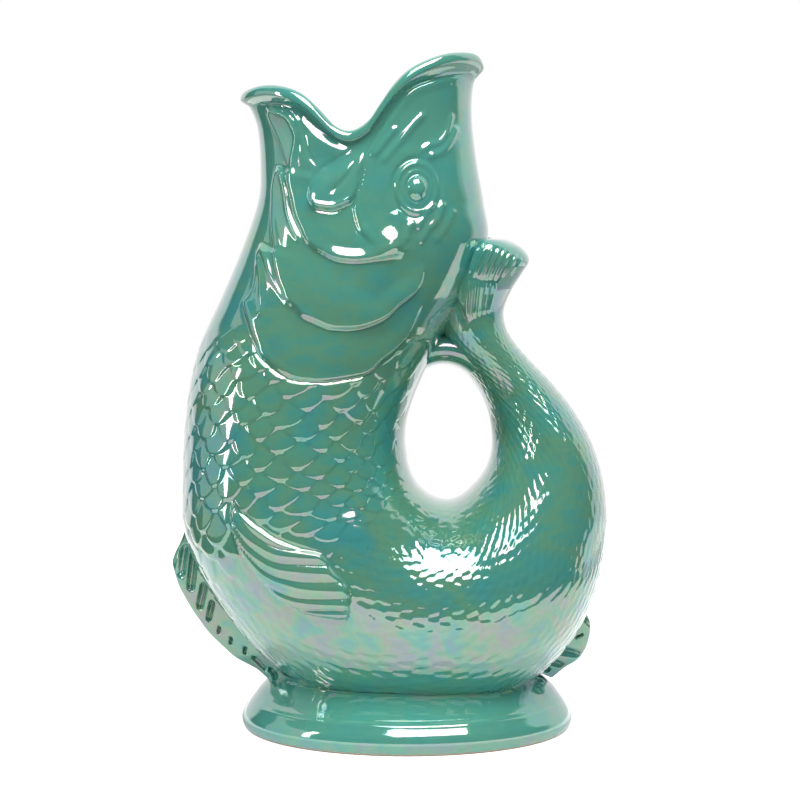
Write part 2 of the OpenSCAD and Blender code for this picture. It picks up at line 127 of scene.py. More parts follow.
def station_rows():
    """Outer point, inner point, half depth, squareness and lean of every station."""
    sections = (
        (HEAD_PX, side, HEAD_DEPTH), (NECK_PX, side, BODY_DEPTH), (BODY_PX, grip, BODY_DEPTH),
        (TAIL_PX[:TAIL_BY_GRIP], grip, WRIST_DEPTH), (TAIL_PX[TAIL_BY_GRIP:], side, WRIST_DEPTH),
        (FAN_PX, side, WRIST_DEPTH))
    return np.array([
        (*side(u, v), *inner(iu, iv), depth * half / 2, square, lean)
        for table, inner, depth in sections for u, v, iu, iv, half, square, lean in table])


ROWS = station_rows()
# The glazed skin is widest a little higher on its sides than the plain cast body. The tail is a little
# wider on its outer side, so that its flanks face the finger loop
BODY_LEAN, BODY_LEAN_AT = -0.10, [NECK_AT + 2, BELLY_END, STERN_AT, STERN_AT + 4]
TAIL_LEAN, TAIL_LEAN_AT = 0.20, [STERN_AT + 2.5, STERN_AT + 4, WRIST_AT - 2, WRIST_AT]
for lean, at in ((BODY_LEAN, BODY_LEAN_AT), (TAIL_LEAN, TAIL_LEAN_AT)):
    ROWS[:, 6] += lean * np.interp(np.arange(len(ROWS)), at, [0, 1, 1, 0])


def spline(a, b, c, d, f):
    """A smooth curve from b to c; a and d are the points before and after them."""
    return (2 * b + (c - a) * f + (2 * a - 5 * b + 4 * c - d) * f**2 + (3 * b - a - 3 * c + d) * f**3) / 2


def extended(points):
    """The points and one more beyond each end, for the spline."""
    p = np.array(points, float)
    return np.vstack([2 * p[0] - p[1], p, 2 * p[-1] - p[-2]])


def rounded(points, steps=None, step=2.0):
    """A smooth curve through points, in so many steps between each two, or in steps of about one length."""
    q = extended(points)
    out = []
    for a, b, c, d in zip(q, q[1:], q[2:], q[3:]):
        n = steps or max(1, int(np.linalg.norm(c - b) / step))
        out.append(spline(a, b, c, d, np.arange(n)[:, None] / n))
    return np.vstack([*out, q[-2:-1]])


DIP_LINE = rounded(DIP_SHARES, 12).T


def station(s):
    """The values of station_rows at any place s along the skin."""
    padded = extended(ROWS)
    i = np.clip(np.floor(s).astype(int), 0, len(ROWS) - 2)
    return spline(*(padded[i + k] for k in range(4)), (s - i)[..., None])


def spread(value, power):
    """A sine or cosine of a squarer round than a circle."""
    return np.sign(value) * np.abs(value) ** (2 / power)


def skin(s, t, out=0.0):
    """Points of the skin at station s and turn t (radians), moved out by out."""
    s, t = np.broadcast_arrays(np.asarray(s, float), np.asarray(t, float))
    bx, bz, dx, dz, half, power, lean = np.moveaxis(station(s), -1, 0)
    hx, hz = (bx - dx) / 2, (bz - dz) / 2
    grow = 1 + out / np.hypot(hx, hz)
    c, n = spread(np.cos(t), power), spread(np.sin(t), power)
    dip = (MOUTH_DIP * np.interp(c, *DIP_LINE) * np.clip(1 - s / DIP_REACH, 0, 1)
           + LIP_H * np.clip(1 - s / LIP_REACH, 0, 1))
    return np.stack([(bx + dx) / 2 + hx * grow * c, (half + out) * n * (1 + lean * c),
                     (bz + dz) / 2 + hz * grow * c - dip], -1)


def photo_px(points):
    """Where points (as if on the near side) fall in the photograph."""
    p = points.copy()
    p[..., 1] = -np.abs(p[..., 1])
    ahead = CAMERA_TO - CAMERA_AT
    ahead = ahead / np.linalg.norm(ahead)
    right = np.cross(ahead, [0, 0, 1])
    right /= np.linalg.norm(right)
    up = np.cross(right, ahead)
    d = p - CAMERA_AT
    depth = d @ ahead
    return IMAGE_PX / 2 + LENS_PX * (d @ right) / depth, IMAGE_PX / 2 - LENS_PX * (d @ up) / depth


def differences(grid, wrap=True):
    """Steps of a grid along its rows and round its columns."""
    along = np.gradient(grid, axis=0)
    if wrap:
        round_ = (np.roll(grid, -1, 1) - np.roll(grid, 1, 1)) / 2
    else:
        round_ = np.gradient(grid, axis=1)
    return along, round_


def unit(v):
    return v / np.maximum(np.linalg.norm(v, axis=-1, keepdims=True), 1e-9)


def outward(grid):
    """Normals of a grid that closes on itself round its columns."""
    along, round_ = differences(grid)
    return unit(np.cross(round_, along))


def smooth(x, low, high):
    """0 below low, 1 above high, and a soft step between."""
    t = np.clip((x - low) / (high - low), 0, 1)
    return t * t * (3 - 2 * t)


# Lines measured on the photograph, in its pixels
def to_line(u, v, line):
    """Pixels to a line, positive on the left of one drawn downward; share of the way along; way across."""
    p = rounded(line)
    a, b = p[:-1], p[1:]
    seg = b - a
    length = np.linalg.norm(seg, axis=1)
    start = np.concatenate([[0], np.cumsum(length)[:-1]])
    q = np.stack([u, v], -1).reshape(-1, 2)
    best = np.full(len(q), 1e9)
    sign, way, across = np.ones(len(q)), np.zeros(len(q)), np.zeros((len(q), 2))
    for k in range(len(a)):
        d = q - a[k]
        f = np.clip(d @ seg[k] / length[k] ** 2, 0, 1)
        gap = np.hypot(*(d - f[:, None] * seg[k]).T)
        near = gap < best
        best = np.where(near, gap, best)
        cross = seg[k, 0] * d[:, 1] - seg[k, 1] * d[:, 0]
        sign = np.where(near, np.where(cross >= 0, 1, -1), sign)
        way = np.where(near, (start[k] + f * length[k]) / length.sum(), way)
        across[near] = seg[k, 1] / length[k], -seg[k, 0] / length[k]
    return (best * sign).reshape(u.shape), way.reshape(u.shape), across.reshape(*u.shape, 2)


def inside(u, v, outline):
    p = np.array(outline, float)
    hit = np.zeros(u.shape, bool)
    for (x0, y0), (x1, y1) in zip(p, np.roll(p, -1, 0)):
        crosses = (y0 > v) != (y1 > v)
        at = x0 + (v - y0) * (x1 - x0) / (y1 - y0 if y1 != y0 else 1e-9)
        hit ^= crosses & (u < at)
    return hit


def from_outline(u, v, outline):
    """Pixels inward from a closed outline, negative outside it."""
    gap = np.abs(to_line(u, v, outline + outline[:1])[0])
    return np.where(inside(u, v, outline), gap, -gap)


def from_eye(u, v):
    """Pixels from the eye's middle, on ovals as tall as the eye is."""
    return np.hypot(u - EYE_PX[0], (v - EYE_PX[1]) / EYE_TALL)


# Free edges of the plates, and the raised leaves and lines beside them
JAW_EDGE_PX = [
    (265.9, 104), (269.5, 119), (279.4, 142.8), (287.3, 166.5), (291.3, 188.3), (294, 200),
    (297, 215.8), (302.3, 229.5), (306.6, 240), (312.9, 247.4), (324.4, 254.7), (336, 260),
    (348.6, 262), (361.3, 262), (375, 260), (387.6, 257.9), (402, 253.5), (412, 248)]
JAW_LEAF_PX = [
    (265.9, 106.8), (280, 111), (291.4, 119.8), (297.9, 135), (296.8, 148), (294.5, 163), (295.5, 182)]
COVER_EDGE_PX = [
    (276.7, 163.7), (272.5, 186), (271.8, 200), (271.3, 226), (273.4, 247), (274.5, 265), (278, 280),
    (282, 289.4), (287.6, 301), (294, 307), (302, 315.8), (315, 322), (327.6, 327.3), (340, 329),
    (356, 328.4), (371.8, 324), (386.5, 316.8), (400, 304), (417.8, 289), (423.7, 273.3), (425.7, 262)]
COVER_LEAF_PX = [(276.7, 163.7), (282.7, 173), (287, 191), (290, 215), (296, 232), (303, 246)]
COLLAR_EDGE_PX = [
    (259.7, 242), (255.5, 259), (254, 279), (250.8, 291.5), (244, 301), (244, 308.4), (247.6, 321),
    (250.8, 332.6), (256, 345), (259.5, 355), (273, 368), (286, 376.5), (299, 380), (319, 381.5),
    (342, 379), (367, 373), (380, 361), (395.5, 348), (411, 330), (425, 300)]
COLLAR_LEAF_PX = [(259.7, 242), (266.6, 255.8), (270.8, 271.6), (277, 284), (285.5, 300), (293, 312)]
COLLAR_INNER_PX = [(260, 259), (263, 273.7), (263, 294.7), (262.4, 313.6), (254, 319)]
BROW_EDGE_PX = [
    (470, 74), (455, 75.5), (439.6, 78.5), (419.8, 84.5), (408, 91.8), (398, 103.3), (386.2, 119),
    (376.3, 136.9), (369.6, 150.7), (364.4, 166.5), (360.5, 186.3), (356.5, 196), (353, 208),
    (354.6, 218), (358.5, 229.8), (366.4, 239.7), (376.3, 248.6), (381, 252.5)]
CREASE_PX = [
    (265.6, 105.2), (279.4, 104.3), (289.3, 108.2), (299.2, 116.1), (303.2, 127), (306.1, 138.9),
    (309, 152.7), (315, 164.6), (322, 170.8)]
CREASE_TWO_PX = [(309.8, 133.9), (311.4, 149), (313, 158.8)]
FOLD_PX = [
    (320.6, 170.8), (315.2, 179.4), (310.9, 190.3), (310.9, 199), (315.2, 207.6), (325, 209.8),
    (332.6, 210.3), (343.4, 206.5), (352, 202.2), (357.5, 193.5), (360.5, 184), (364, 168), (369, 152),
    (374, 141), (365, 140), (355, 148), (343, 157), (330, 165)]
FOLD_ROOT_PX = [(392, 128), (374, 139), (355, 148), (343, 157), (330, 165), (318, 173), (306, 188)]
FOLD_GROOVE_PX = [(358, 156), (354, 167.5), (343, 182.7), (332.6, 191.4), (326, 195)]
# The eye's middle, how much taller than wide it is, and the ball's half width
EYE_PX = (416.8, 188.0)
EYE_TALL = 1.22
EYE_R_PX = 11
# Height in mm against the distance from the eye's middle, in the photograph's steps
EYE_PROFILE = [
    (0, 2.7), (4, 2.45), (7, 1.85), (9.2, 0.95), (10.4, 0.25), (11.4, 0.35), (12.8, 0.85), (14.5, 0.7),
    (17, 0.35), (19.2, 0.95), (21.2, 0.75), (23.2, -0.25), (25, -0.35), (27, 0.25), (31, 0.3),
    (38, 0.0)]
# Stations of the eye and of the fold
EYE_S, FOLD_S = (1.0, 6.5), (0.4, 6)
# The line below the notch of the mouth
NOTCH_PX = [(298, 105), (307, 115), (313, 122), (320, 130), (330, 137), (342, 142.5), (353, 143)]
# Raised lines of the face: points, height and half width in mm
FACE_LINES = [
    ([(452, 112), (447, 132), (439.5, 142.5), (428, 146), (419, 154)], 0.7, 1.2),
    ([(458, 126), (449.3, 143), (441, 152), (426, 157.5)], 0.9, 1.5),
    ([(426, 112), (415, 123), (398, 144), (380, 166)], 0.85, 1.5),
    ([(397, 126), (385, 142), (374, 158)], 0.8, 1.4),
    ([(436, 203), (428, 212.6), (421, 221), (417, 231)], 0.8, 1.2),
    ([(444, 200), (437, 220), (427, 231), (418, 246)], 0.8, 1.5),
    ([(454, 208), (447, 226), (434, 243)], 0.5, 1.6),
    ([(415, 221), (408, 229.5), (406, 243)], 0.7, 1.3),
    ([(394, 211), (397, 224), (397, 240), (400, 250)], 0.8, 2.2),
    ([(259, 103), (273, 104.5), (288, 111), (300, 121)], 0.30, 0.8),
    ([(262, 108), (274, 108.5), (286, 114), (297, 124)], 0.25, 0.8)]

# Rays of the tail fin: the upper group, the lower group, and the crease in front of them
UPPER_RAYS_PX = [
    [(479, 246), (473, 260), (468.6, 275)], [(486, 246), (479, 262), (473, 278)],
    [(493.5, 246), (486, 262), (479, 279)], [(500.5, 247), (492, 263), (485, 280)],
    [(506, 248), (497.5, 264), (490, 280)], [(512, 250), (503, 265), (495, 281)],
    [(517.6, 253), (509.5, 266), (502, 278)], [(522, 257), (516, 267), (511, 276)]]
LOWER_RAYS_PX = [
    [(469.5, 279), (466.8, 300), (466.5, 320)], [(474, 279), (471.5, 300), (470.5, 320)],
    [(479, 279), (476.5, 300), (475, 318)], [(484, 280), (481, 298), (480, 317)],
    [(489.5, 281), (485.5, 300), (484, 316)], [(495.8, 283), (491, 300), (487.5, 314)]]
TAIL_CREASE_PX = [(452, 272), (452, 290), (455, 301), (460, 310), (464, 322), (465, 332)]

# Rays of the side fin, from the throat backward
SIDE_RAYS_PX = [
    [(232, 498), (246, 514), (263.7, 532), (290, 543), (320, 546)],
    [(228, 504), (243, 530.7), (259.5, 545.6), (276, 554), (301, 556.4), (330, 557)],
    [(226, 510), (241.3, 540.7), (256, 557), (276, 569), (301, 572), (345, 573)],
    [(226, 518), (252.9, 562), (267.8, 577), (289.4, 587), (309, 591), (360, 590.5)],
    [(226, 526), (249.6, 576), (259.5, 584.7), (276, 596), (296, 603), (325.8, 605.4), (360, 605.4)],
    [(226, 534), (247, 578), (269.5, 597), (286, 608), (306, 613), (360, 614.5)],
    [(226, 542), (244, 582), (268, 606), (290, 617), (326, 622), (360, 622)]]
SIDE_FIN_PX = [
    (232, 500), (243, 513), (263, 529), (280, 540), (301, 548), (322, 554), (333, 570), (347, 586),
    (350, 600), (348, 619.5), (326, 618), (301, 612), (276, 596), (253, 571), (238, 548), (231, 524)]


# Relief of the skin, millimetres above it, worked out on the near side and mirrored to the other
# The gap away from every line, and the limits of the photograph's scale along the skin
FAR_MM = 1000.0
PX_PER_MM = (0.9, 3.2)


class Near:
    """The near half of the grid, and what the relief needs to know of it."""

    def __init__(self, s_list, base):
        self.p = base[:, np.r_[HALF:COLUMNS, 0]]
        self.s = np.broadcast_to(s_list[:, None], self.p.shape[:2])
        self.t = np.linspace(math.pi, 2 * math.pi, HALF + 1)[None, :] + 0 * self.s
        self.u, self.v = photo_px(self.p)
        # The grid's steps squared, along and round the skin, and their product
        along, round_ = differences(self.p, wrap=False)
        self.e, self.g = (along**2).sum(-1), (round_**2).sum(-1)
        self.f = (along * round_).sum(-1)
        pairs = (self.u, self.u), (self.u, self.v), (self.v, self.v)
        self.uu, self.uv, self.vv = (self.product(*pair) for pair in pairs)

    def product(self, one, other):
        """The product of two fields' slopes along the skin, per mm squared."""
        a, r = differences(one, wrap=False)
        b, c = differences(other, wrap=False)
        area = np.maximum(self.e * self.g - self.f**2, 1e-9)
        return (a * b * self.g - (a * c + b * r) * self.f + r * c * self.e) / area

    def rows(self, low, high):
        return (self.s[:, 0] >= low) & (self.s[:, 0] <= high)

    def placed(self, keep, values):
        """The values on the rows to keep, and 0 on the others."""
        out = np.zeros(self.s.shape)
        out[keep] = values
        return out

    def line(self, points, low, high, flip=False):
        """Millimetres from a line, positive on its plate's side, and the share of the way along it.

        Away from the stations low to high the gap is far and the share is 0."""
        keep = self.rows(low, high)
        gap, way = np.full(self.s.shape, FAR_MM), np.zeros(self.s.shape)
        d, way[keep], across = to_line(self.u[keep], self.v[keep], points)
        x, y = across[..., 0], across[..., 1]
        squared = x * x * self.uu[keep] + 2 * x * y * self.uv[keep] + y * y * self.vv[keep]
        gap[keep] = (d if flip else -d) / np.clip(np.sqrt(np.maximum(squared, 0)), *PX_PER_MM)
        return gap, way


# The groove just outside a plate: share of the plate's height, how far out, half width
GROOVE_SHARE, GROOVE_OUT, GROOVE_HALF = 0.16, 0.55, 0.5


def ridge(gap, height, half_width):
    return height * np.exp(-((gap / half_width) ** 2))


def quarter_round(gap, radius):
    """The section of a rounded edge: 0 at the edge and 1 from its radius inward."""
    return np.sqrt(np.clip(1 - (1 - np.clip(gap / radius, 0, 1)) ** 2, 0, 1))


def plate(gap, height, rim, keep_share=0.90, settle=1.3, hold=6.0, reach=18.0):
    """A plate's section: a rounded free edge, a back that lies a little lower, and a long fade."""
    fall = 1 - (1 - keep_share) * smooth(gap, rim, rim + settle)
    fade = 1 - smooth(gap, hold, hold + reach)
    rise = height * quarter_round(gap, rim) * fall * fade
    return np.where(gap > 0, rise, 0) - ridge(gap + GROOVE_OUT, GROOVE_SHARE * height, GROOVE_HALF)


def ends(way, first, last):
    """A line's height fades over these shares of it at its two ends."""
    return smooth(way, 0, first) * smooth(1 - way, 0, last)


def scale_rows(rows, across, row_mm, across_mm, height, bevel, sink=0.70, pillow=0.16):
    """Overlapping scales in staggered rows; their round free edges point along +rows."""
    tongue, sink_from, sink_to, flattest = 1.5, 0.25, 2.3, 0.2
    top = np.zeros(rows.shape)
    for odd in (0, 1):
        m = np.round(across - odd / 2)
        a = (across - odd / 2 - m) * 2
        e = np.sqrt(np.clip(1 - a * a, 0, 1))
        slope = tongue * a / np.maximum(e, flattest) * row_mm / (across_mm / 2)
        first = np.ceil((rows - tongue * e - odd) / 2) * 2 + odd
        for back in (0, 2):
            behind = first + back + tongue * e - rows
            gap = behind * row_mm / np.sqrt(1 + slope**2)
            sunk = 1 - sink * smooth(behind, sink_from, sink_to)
            top = np.maximum(top, height * (smooth(gap, 0, bevel) * sunk * (1 - pillow * a * a)))
    return top


# Pebbles: a cell's size in mm, the part of a cell that holds a middle, and seeds of the places
PEBBLE_MM = 5.0
PEBBLE_PLACE, PEBBLE_ROOM = 0.15, 0.7
PEBBLE_SEEDS = ((12.99, 78.23, 37.72), (39.35, 11.14, 83.16), (73.16, 52.24, 9.15))
PEBBLE_GAIN = 43758.5453
PEBBLE_EDGE = (0.02, 0.55)


def pebbles(points):
    """Rounded bumps of one size in space, 1 at their tops and 0 between them."""
    at = np.floor(points / PEBBLE_MM)
    first, second = np.full(points.shape[:2], 9.0), np.full(points.shape[:2], 9.0)
    for step in itertools.product((-1, 0, 1), repeat=3):
        key = at + step
        jitter = np.stack([np.sin(key @ seed) * PEBBLE_GAIN % 1 for seed in PEBBLE_SEEDS], -1)
        middle = (key + PEBBLE_PLACE + PEBBLE_ROOM * jitter) * PEBBLE_MM
        gap = np.linalg.norm(middle - points, axis=-1) / PEBBLE_MM
        second = np.minimum(second, np.maximum(first, gap))
        first = np.minimum(first, gap)
    return smooth(second - first, *PEBBLE_EDGE)


# Scales, large on the trunk, small below and middling on the tail: how many go round, height in mm
BIG_ROUND, SMALL_ROUND, TAIL_ROUND = 21, 64, 38
BIG_H, SMALL_H, TAIL_H = 1.6, 0.44, 0.30
SMALL_PEBBLE_H, TAIL_PEBBLE_H = 0.30, 0.24
ROWS_PER_S = 3.35
# Stations over which each kind gives way to the next
BIG_FROM, BIG_TO, SMALL_TO, TAIL_TO = (6.6, 7.4), (11.0, 12.6), (18.4, 19.4), (25.2, 26.2)
# Rows closer than this in mm give way to pebbles
CROWDED = (1.9, 3.7)
# Hand-carved, with no two rows alike: height of a wave, and its turns along and round the skin
ROW_WAVES = ((0.13, 1.9, 41), (0.08, 0.8, -97))
ROUND_WAVES = ((0.05, 2.3, 23), (0.04, 1.1, 60))


def waves(table, rows, turns):
    return sum(height * np.sin(along * rows + round_ * turns) for height, along, round_ in table)


def scales(near):
    """The trunk's large scales, the small ones below and on the tail, and pebbles by the finger loop."""
    s, u, v = near.s, near.u, near.v
    rows, turns = ROWS_PER_S * s, near.t / (2 * math.pi)
    row_mm = np.sqrt(near.e) / np.maximum(np.gradient(s, axis=0), 1e-6) / ROWS_PER_S
    turn_mm = np.sqrt(near.g) * COLUMNS
    wander, drift = waves(ROW_WAVES, rows, turns), waves(ROUND_WAVES, rows, turns)

    def carved(how_many, height, bevel, loose, **shape):
        return scale_rows(rows + loose * wander, how_many * turns + drift, row_mm, turn_mm / how_many,
                          height, bevel, **shape)

    big = carved(BIG_ROUND, BIG_H, 1.2 + 1.3 * smooth(v, 470, 540), 1.0, sink=0.6, pillow=0.38)
    small = carved(SMALL_ROUND, SMALL_H, 1.2, 0.6) - SMALL_H
    tail = carved(TAIL_ROUND, TAIL_H, 1.1, 0.6) - TAIL_H
    crowded = 1 - smooth(row_mm, *CROWDED)
    bumps = pebbles(near.p) - 1
    small = small * (1 - crowded) + SMALL_PEBBLE_H * bumps * crowded
    tail = tail * (1 - crowded) + TAIL_PEBBLE_H * bumps * crowded
    upper = smooth(s, *BIG_FROM) * (1 - smooth(s, *BIG_TO))
    lower = smooth(s, *BIG_TO) * (1 - smooth(s, *SMALL_TO))
    stern = smooth(s, *SMALL_TO) * (1 - smooth(s, *TAIL_TO))
    # The belly's front and the side by the finger loop are nearly smooth, and so is the back
    throat = 1 - 0.65 * smooth(np.cos(near.t), 0.80, 0.97)
    loop = 1 - 0.72 * smooth(u, 358, 392) * (v > 340)
    back = smooth(np.cos(near.t), -1, -0.86)
    return upper * big * throat * loop * back + (lower * small + stern * tail) * back


# The side fin: stations, height of its ground and of its rays in mm, a ray's half width as a share of
# the space between two
SIDE_FIN_S = (8.5, 15.5)
SIDE_FIN_H, SIDE_RAY_H, SIDE_RAY_SHARE = 0.9, 1.5, 1 / 1.9


def side_fin(near):
    """The ribbed side fin, and the mask that keeps the scales off it."""
    keep = near.rows(*SIDE_FIN_S)
    u, v = near.u[keep], near.v[keep]
    index = np.zeros(u.shape)
    for k, pair in enumerate(zip(SIDE_RAYS_PX, SIDE_RAYS_PX[1:])):
        one, other = (-to_line(u, v, line)[0] for line in pair)
        between = (one <= 0) & (other > 0)
        index = np.where(between, k + one / np.minimum(one - other, -1e-6), index)
    rays = np.sqrt(np.clip(1 - ((index - np.round(index)) / SIDE_RAY_SHARE) ** 2, 0, 1))
    gap = from_outline(u, v, SIDE_FIN_PX)
    height = (SIDE_FIN_H + SIDE_RAY_H * rays) * smooth(gap, -1.0, 4.0)
    return near.placed(keep, height), near.placed(keep, smooth(gap, -2.5, 1.5))


def eye(near):
    """The eyeball and the rings of its socket, which are lower toward the fish's back."""
    keep = near.rows(*EYE_S)
    ring_share = 0.45 + 0.55 * smooth(EYE_PX[0] - near.u[keep], -14, 10)
    r = from_eye(near.u[keep], near.v[keep])
    height = np.interp(r, *np.array(EYE_PROFILE).T) * np.where(r > EYE_R_PX, ring_share, 1)
    return near.placed(keep, height)


# The hanging fold: millimetres to a pixel there, its height, its bead's and its groove's height in mm
FOLD_MM_PER_PX = 0.42
FOLD_H, FOLD_BEAD_H, FOLD_GROOVE_H = 2.0, 0.7, 0.75


def fold(near):
    """The fold at the corner of the mouth, which grows out of the face at its upper left."""
    keep = near.rows(*FOLD_S)
    u, v = near.u[keep], near.v[keep]
    gap = from_outline(u, v, FOLD_PX) * FOLD_MM_PER_PX
    plain = 1 - smooth(u, 345, 360)
    height = FOLD_H * quarter_round(gap, 1.5 + 2.6 * smooth(u, 338, 358))
    height += ridge(gap - 1.5, FOLD_BEAD_H, 0.9) * smooth(v, 150, 185) * (gap > -0.2) * plain
    from_face = -to_line(u, v, FOLD_ROOT_PX)[0] * FOLD_MM_PER_PX
    height *= smooth(from_face, -0.5, 7.0) * smooth(v, 142, 170)
    d, way, _ = to_line(u, v, FOLD_GROOVE_PX)
    height -= ridge(d * FOLD_MM_PER_PX, FOLD_GROOVE_H, 1.0) * ends(way, 0.25, 0.25)
    return near.placed(keep, height - ridge(gap + 0.6, 0.35, 0.5) * plain)


# Rays and crease of the tail fin: lines, stations, height and half width in mm, faded ends
TAIL_RIDGES = [
    (UPPER_RAYS_PX, (27.2, 31.4), 0.8, 0.72, (0.2, 0.2)),
    (LOWER_RAYS_PX, (25.0, 29.5), 0.95, 0.75, (0.2, 0.15)),
    ([TAIL_CREASE_PX], (25.0, 30.5), -1.3, 1.3, (0.25, 0.2))]


def ridges(near, table):
    h = np.zeros(near.s.shape)
    for lines, stations, height, half_width, faded in table:
        for line in lines:
            gap, way = near.line(line, *stations)
            h += ridge(gap, height, half_width) * ends(way, *faded)
    return h


# The same for the head: its leaves, and the raised lines of the face
FACE_S, FACE_ENDS = (0.2, 7.5), (0.10, 0.14)
LEAVES = [
    (JAW_LEAF_PX, (0.3, 5), 0.9), (COVER_LEAF_PX, (1.6, 7), 1.1), (COLLAR_LEAF_PX, (3.2, 9), 1.1),
    (COLLAR_INNER_PX, (3.2, 9), 0.8), (CREASE_TWO_PX, (0.5, 5), 0.3)]
HEAD_RIDGES = [([line], stations, height, 0.9, FACE_ENDS) for line, stations, height in LEAVES]
HEAD_RIDGES += [([line], FACE_S, *section, FACE_ENDS) for line, *section in FACE_LINES]
# The swell below the notch of the mouth, and the cheek below the eye: heights and slope in mm
NOTCH_SWELL, NOTCH_SLOPE, NOTCH_REACH = 1.4, 2.9, 12
CHEEK_H, CHEEK_PX, CHEEK_R_PX, CHEEK_CUT_PX = 2.5, (391, 249), (14, 19), (246, 263)


def head_relief(near):
    """Plates, leaves, brow, folds and creases of the head."""
    # The lower edges round over widely on the throat side, and the jaw dips behind its edge
    rim = 1.2 + 1.9 * smooth(302 - near.u, 0, 26)
    dip = 0.80 - 0.40 * smooth(near.u, 322, 344)
    toward_back = smooth(near.u, 335, 385)
    fade = {"hold": 6 - 4 * toward_back, "reach": 18 - 11 * toward_back}
    # Free edge, stations, faded ends and section of each; the crease's plate is on its line's other side
    plates = [
        (COLLAR_EDGE_PX, (2.6, 11.5), (0.03, 0.12), dict(height=1.7, rim=rim, **fade)),
        (COVER_EDGE_PX, (1.0, 9.5), (0.03, 0.10), dict(height=1.9, rim=rim, **fade)),
        (JAW_EDGE_PX, (0.0, 7.5), (0.05, 0.16),
         dict(height=1.9, rim=rim, keep_share=dip, settle=5.2, hold=7, reach=11)),
        (BROW_EDGE_PX, (0.1, 7), (0.08, 0.12),
         dict(height=1.25, rim=1.8, keep_share=0.8, settle=3.0, hold=6, reach=15)),
        (CREASE_PX, (0.1, 6), (0.08, 0.15),
         dict(height=0.55, rim=1.6, keep_share=0.7, settle=2.0, hold=3, reach=8))]
    h = ridges(near, HEAD_RIDGES)
    for line, stations, faded, section in plates:
        gap, way = near.line(line, *stations, flip=line is CREASE_PX)
        h += plate(gap, **section) * ends(way, *faded)
    gap, way = near.line(NOTCH_PX, 0.3, 4.6, flip=True)
    rise = np.clip(gap / NOTCH_SLOPE, 0, 1)
    swell = NOTCH_SWELL * (0.85 * rise + 0.15 * smooth(rise, 0, 1))
    h += swell * (1 - smooth(gap, NOTCH_SLOPE, NOTCH_REACH)) * ends(way, 0.22, 0.30)
    off = [(near.u - CHEEK_PX[0]) / CHEEK_R_PX[0], (near.v - CHEEK_PX[1]) / CHEEK_R_PX[1]]
    return h + ridge(np.hypot(*off), CHEEK_H, 1) * (1 - smooth(near.v, *CHEEK_CUT_PX))


# Under the mouth's corners the wall draws in: by so many mm, where round the skin, over which stations
NOTCH_IN, NOTCH_AT, NOTCH_HALF, NOTCH_S = 2.8, 0.09, 0.34, (0, 1.7)


def notch_in(s, t):
    return ridge(np.cos(t) - NOTCH_AT, NOTCH_IN, NOTCH_HALF) * (1 - smooth(s, *NOTCH_S))


def relief(near):
    fin, fin_mask = side_fin(near)
    # The scales start below the collar
    gap, _ = near.line(COLLAR_EDGE_PX, 3.2, 12)
    below_collar = np.where(near.s > 11.5, 1.0, smooth(-gap, 0.0, 1.2))
    h = scales(near) * below_collar * (1 - fin_mask)
    h = softened(h + head_relief(near) + eye(near) + fold(near) - notch_in(near.s, near.t))
    return h + fin + ridges(near, TAIL_RIDGES) - UNDER_CAD


def softened(h):
    """The glaze rounds over every sharp edge a little."""
    for axis in (0, 1):
        h = (np.roll(h, 1, axis) + 2 * h + np.roll(h, -1, axis)) / 4
    return h


# Materials
def node(tree, kind, **values):
    """A new node, with its inputs or its settings by their names."""
    n = tree.nodes.new(kind)
    for key, value in values.items():
        if key in n.inputs:
            n.inputs[key].default_value = value
        else:
            setattr(n, key, value)
    return n


def feed(tree, socket, value):
    """Link another node's output to the socket, or set the socket to a plain value."""
    if isinstance(value, bpy.types.NodeSocket):
        tree.links.new(value, socket)
    else:
        socket.default_value = value


def arithmetic(tree, operation, *values):
    n = node(tree, "ShaderNodeMath", operation=operation)
    for socket, value in zip(n.inputs, values):
        feed(tree, socket, value)
    return n.outputs[0]


# Sockets of a mix: first, second and result
MIX_SOCKETS = {"FLOAT": (2, 3, 0), "RGBA": (6, 7, 2)}


def mixed(tree, share, first, second, kind="FLOAT"):
    n = node(tree, "ShaderNodeMix", data_type=kind)
    one, other, result = MIX_SOCKETS[kind]
    for index, value in ((0, share), (one, first), (other, second)):
        feed(tree, n.inputs[index], value)
    return n.outputs[result]


def map_range(tree, value, low, high, to_low=0.0, to_high=1.0):
    limits = {"From Min": low, "From Max": high, "To Min": to_low, "To Max": to_high}
    n = node(tree, "ShaderNodeMapRange", **limits)
    feed(tree, n.inputs["Value"], value)
    return n.outputs[0]


def noise(tree, place, **values):
    n = node(tree, "ShaderNodeTexNoise", **values)
    tree.links.new(place, n.inputs["Vector"])
    return n.outputs["Fac"]


def ramp(tree, value, stops):
    """A colour for each value, between the stops' colours."""
    n = node(tree, "ShaderNodeValToRGB")
    elements = n.color_ramp.elements
    while len(elements) < len(stops):
        elements.new(0.5)
    for element, (position, colour) in zip(elements, stops):
        element.position = position
        element.color = (*colour, 1)
    tree.links.new(value, n.inputs[0])
    return n.outputs[0]


def bump(tree, height, strength):
    n = node(tree, "ShaderNodeBump", Strength=strength, Distance=0.0002)
    tree.links.new(height, n.inputs["Height"])
    return n.outputs[0]


def node_tree(owner):
    """The empty node tree of a material or a world."""
    owner.use_nodes = True
    owner.node_tree.nodes.clear()
    return owner.node_tree


# Drifts of sea green, olive and blue; the bluer tint of the head and foot, and its share up the height
DRIFT_STOPS = [
    (0.30, (0.046, 0.270, 0.258)), (0.43, (0.066, 0.280, 0.216)), (0.53, (0.098, 0.277, 0.172)),
    (0.60, (0.070, 0.276, 0.216)), (0.70, (0.046, 0.272, 0.262))]
BLUER_TINT = (0.083, 0.355, 0.285, 1)
BLUER_SHARES = [(0.05, 0.70), (0.16, 0.0), (0.62, 0.0), (0.84, 0.62)]
MOTTLE_SHARE = 0.45
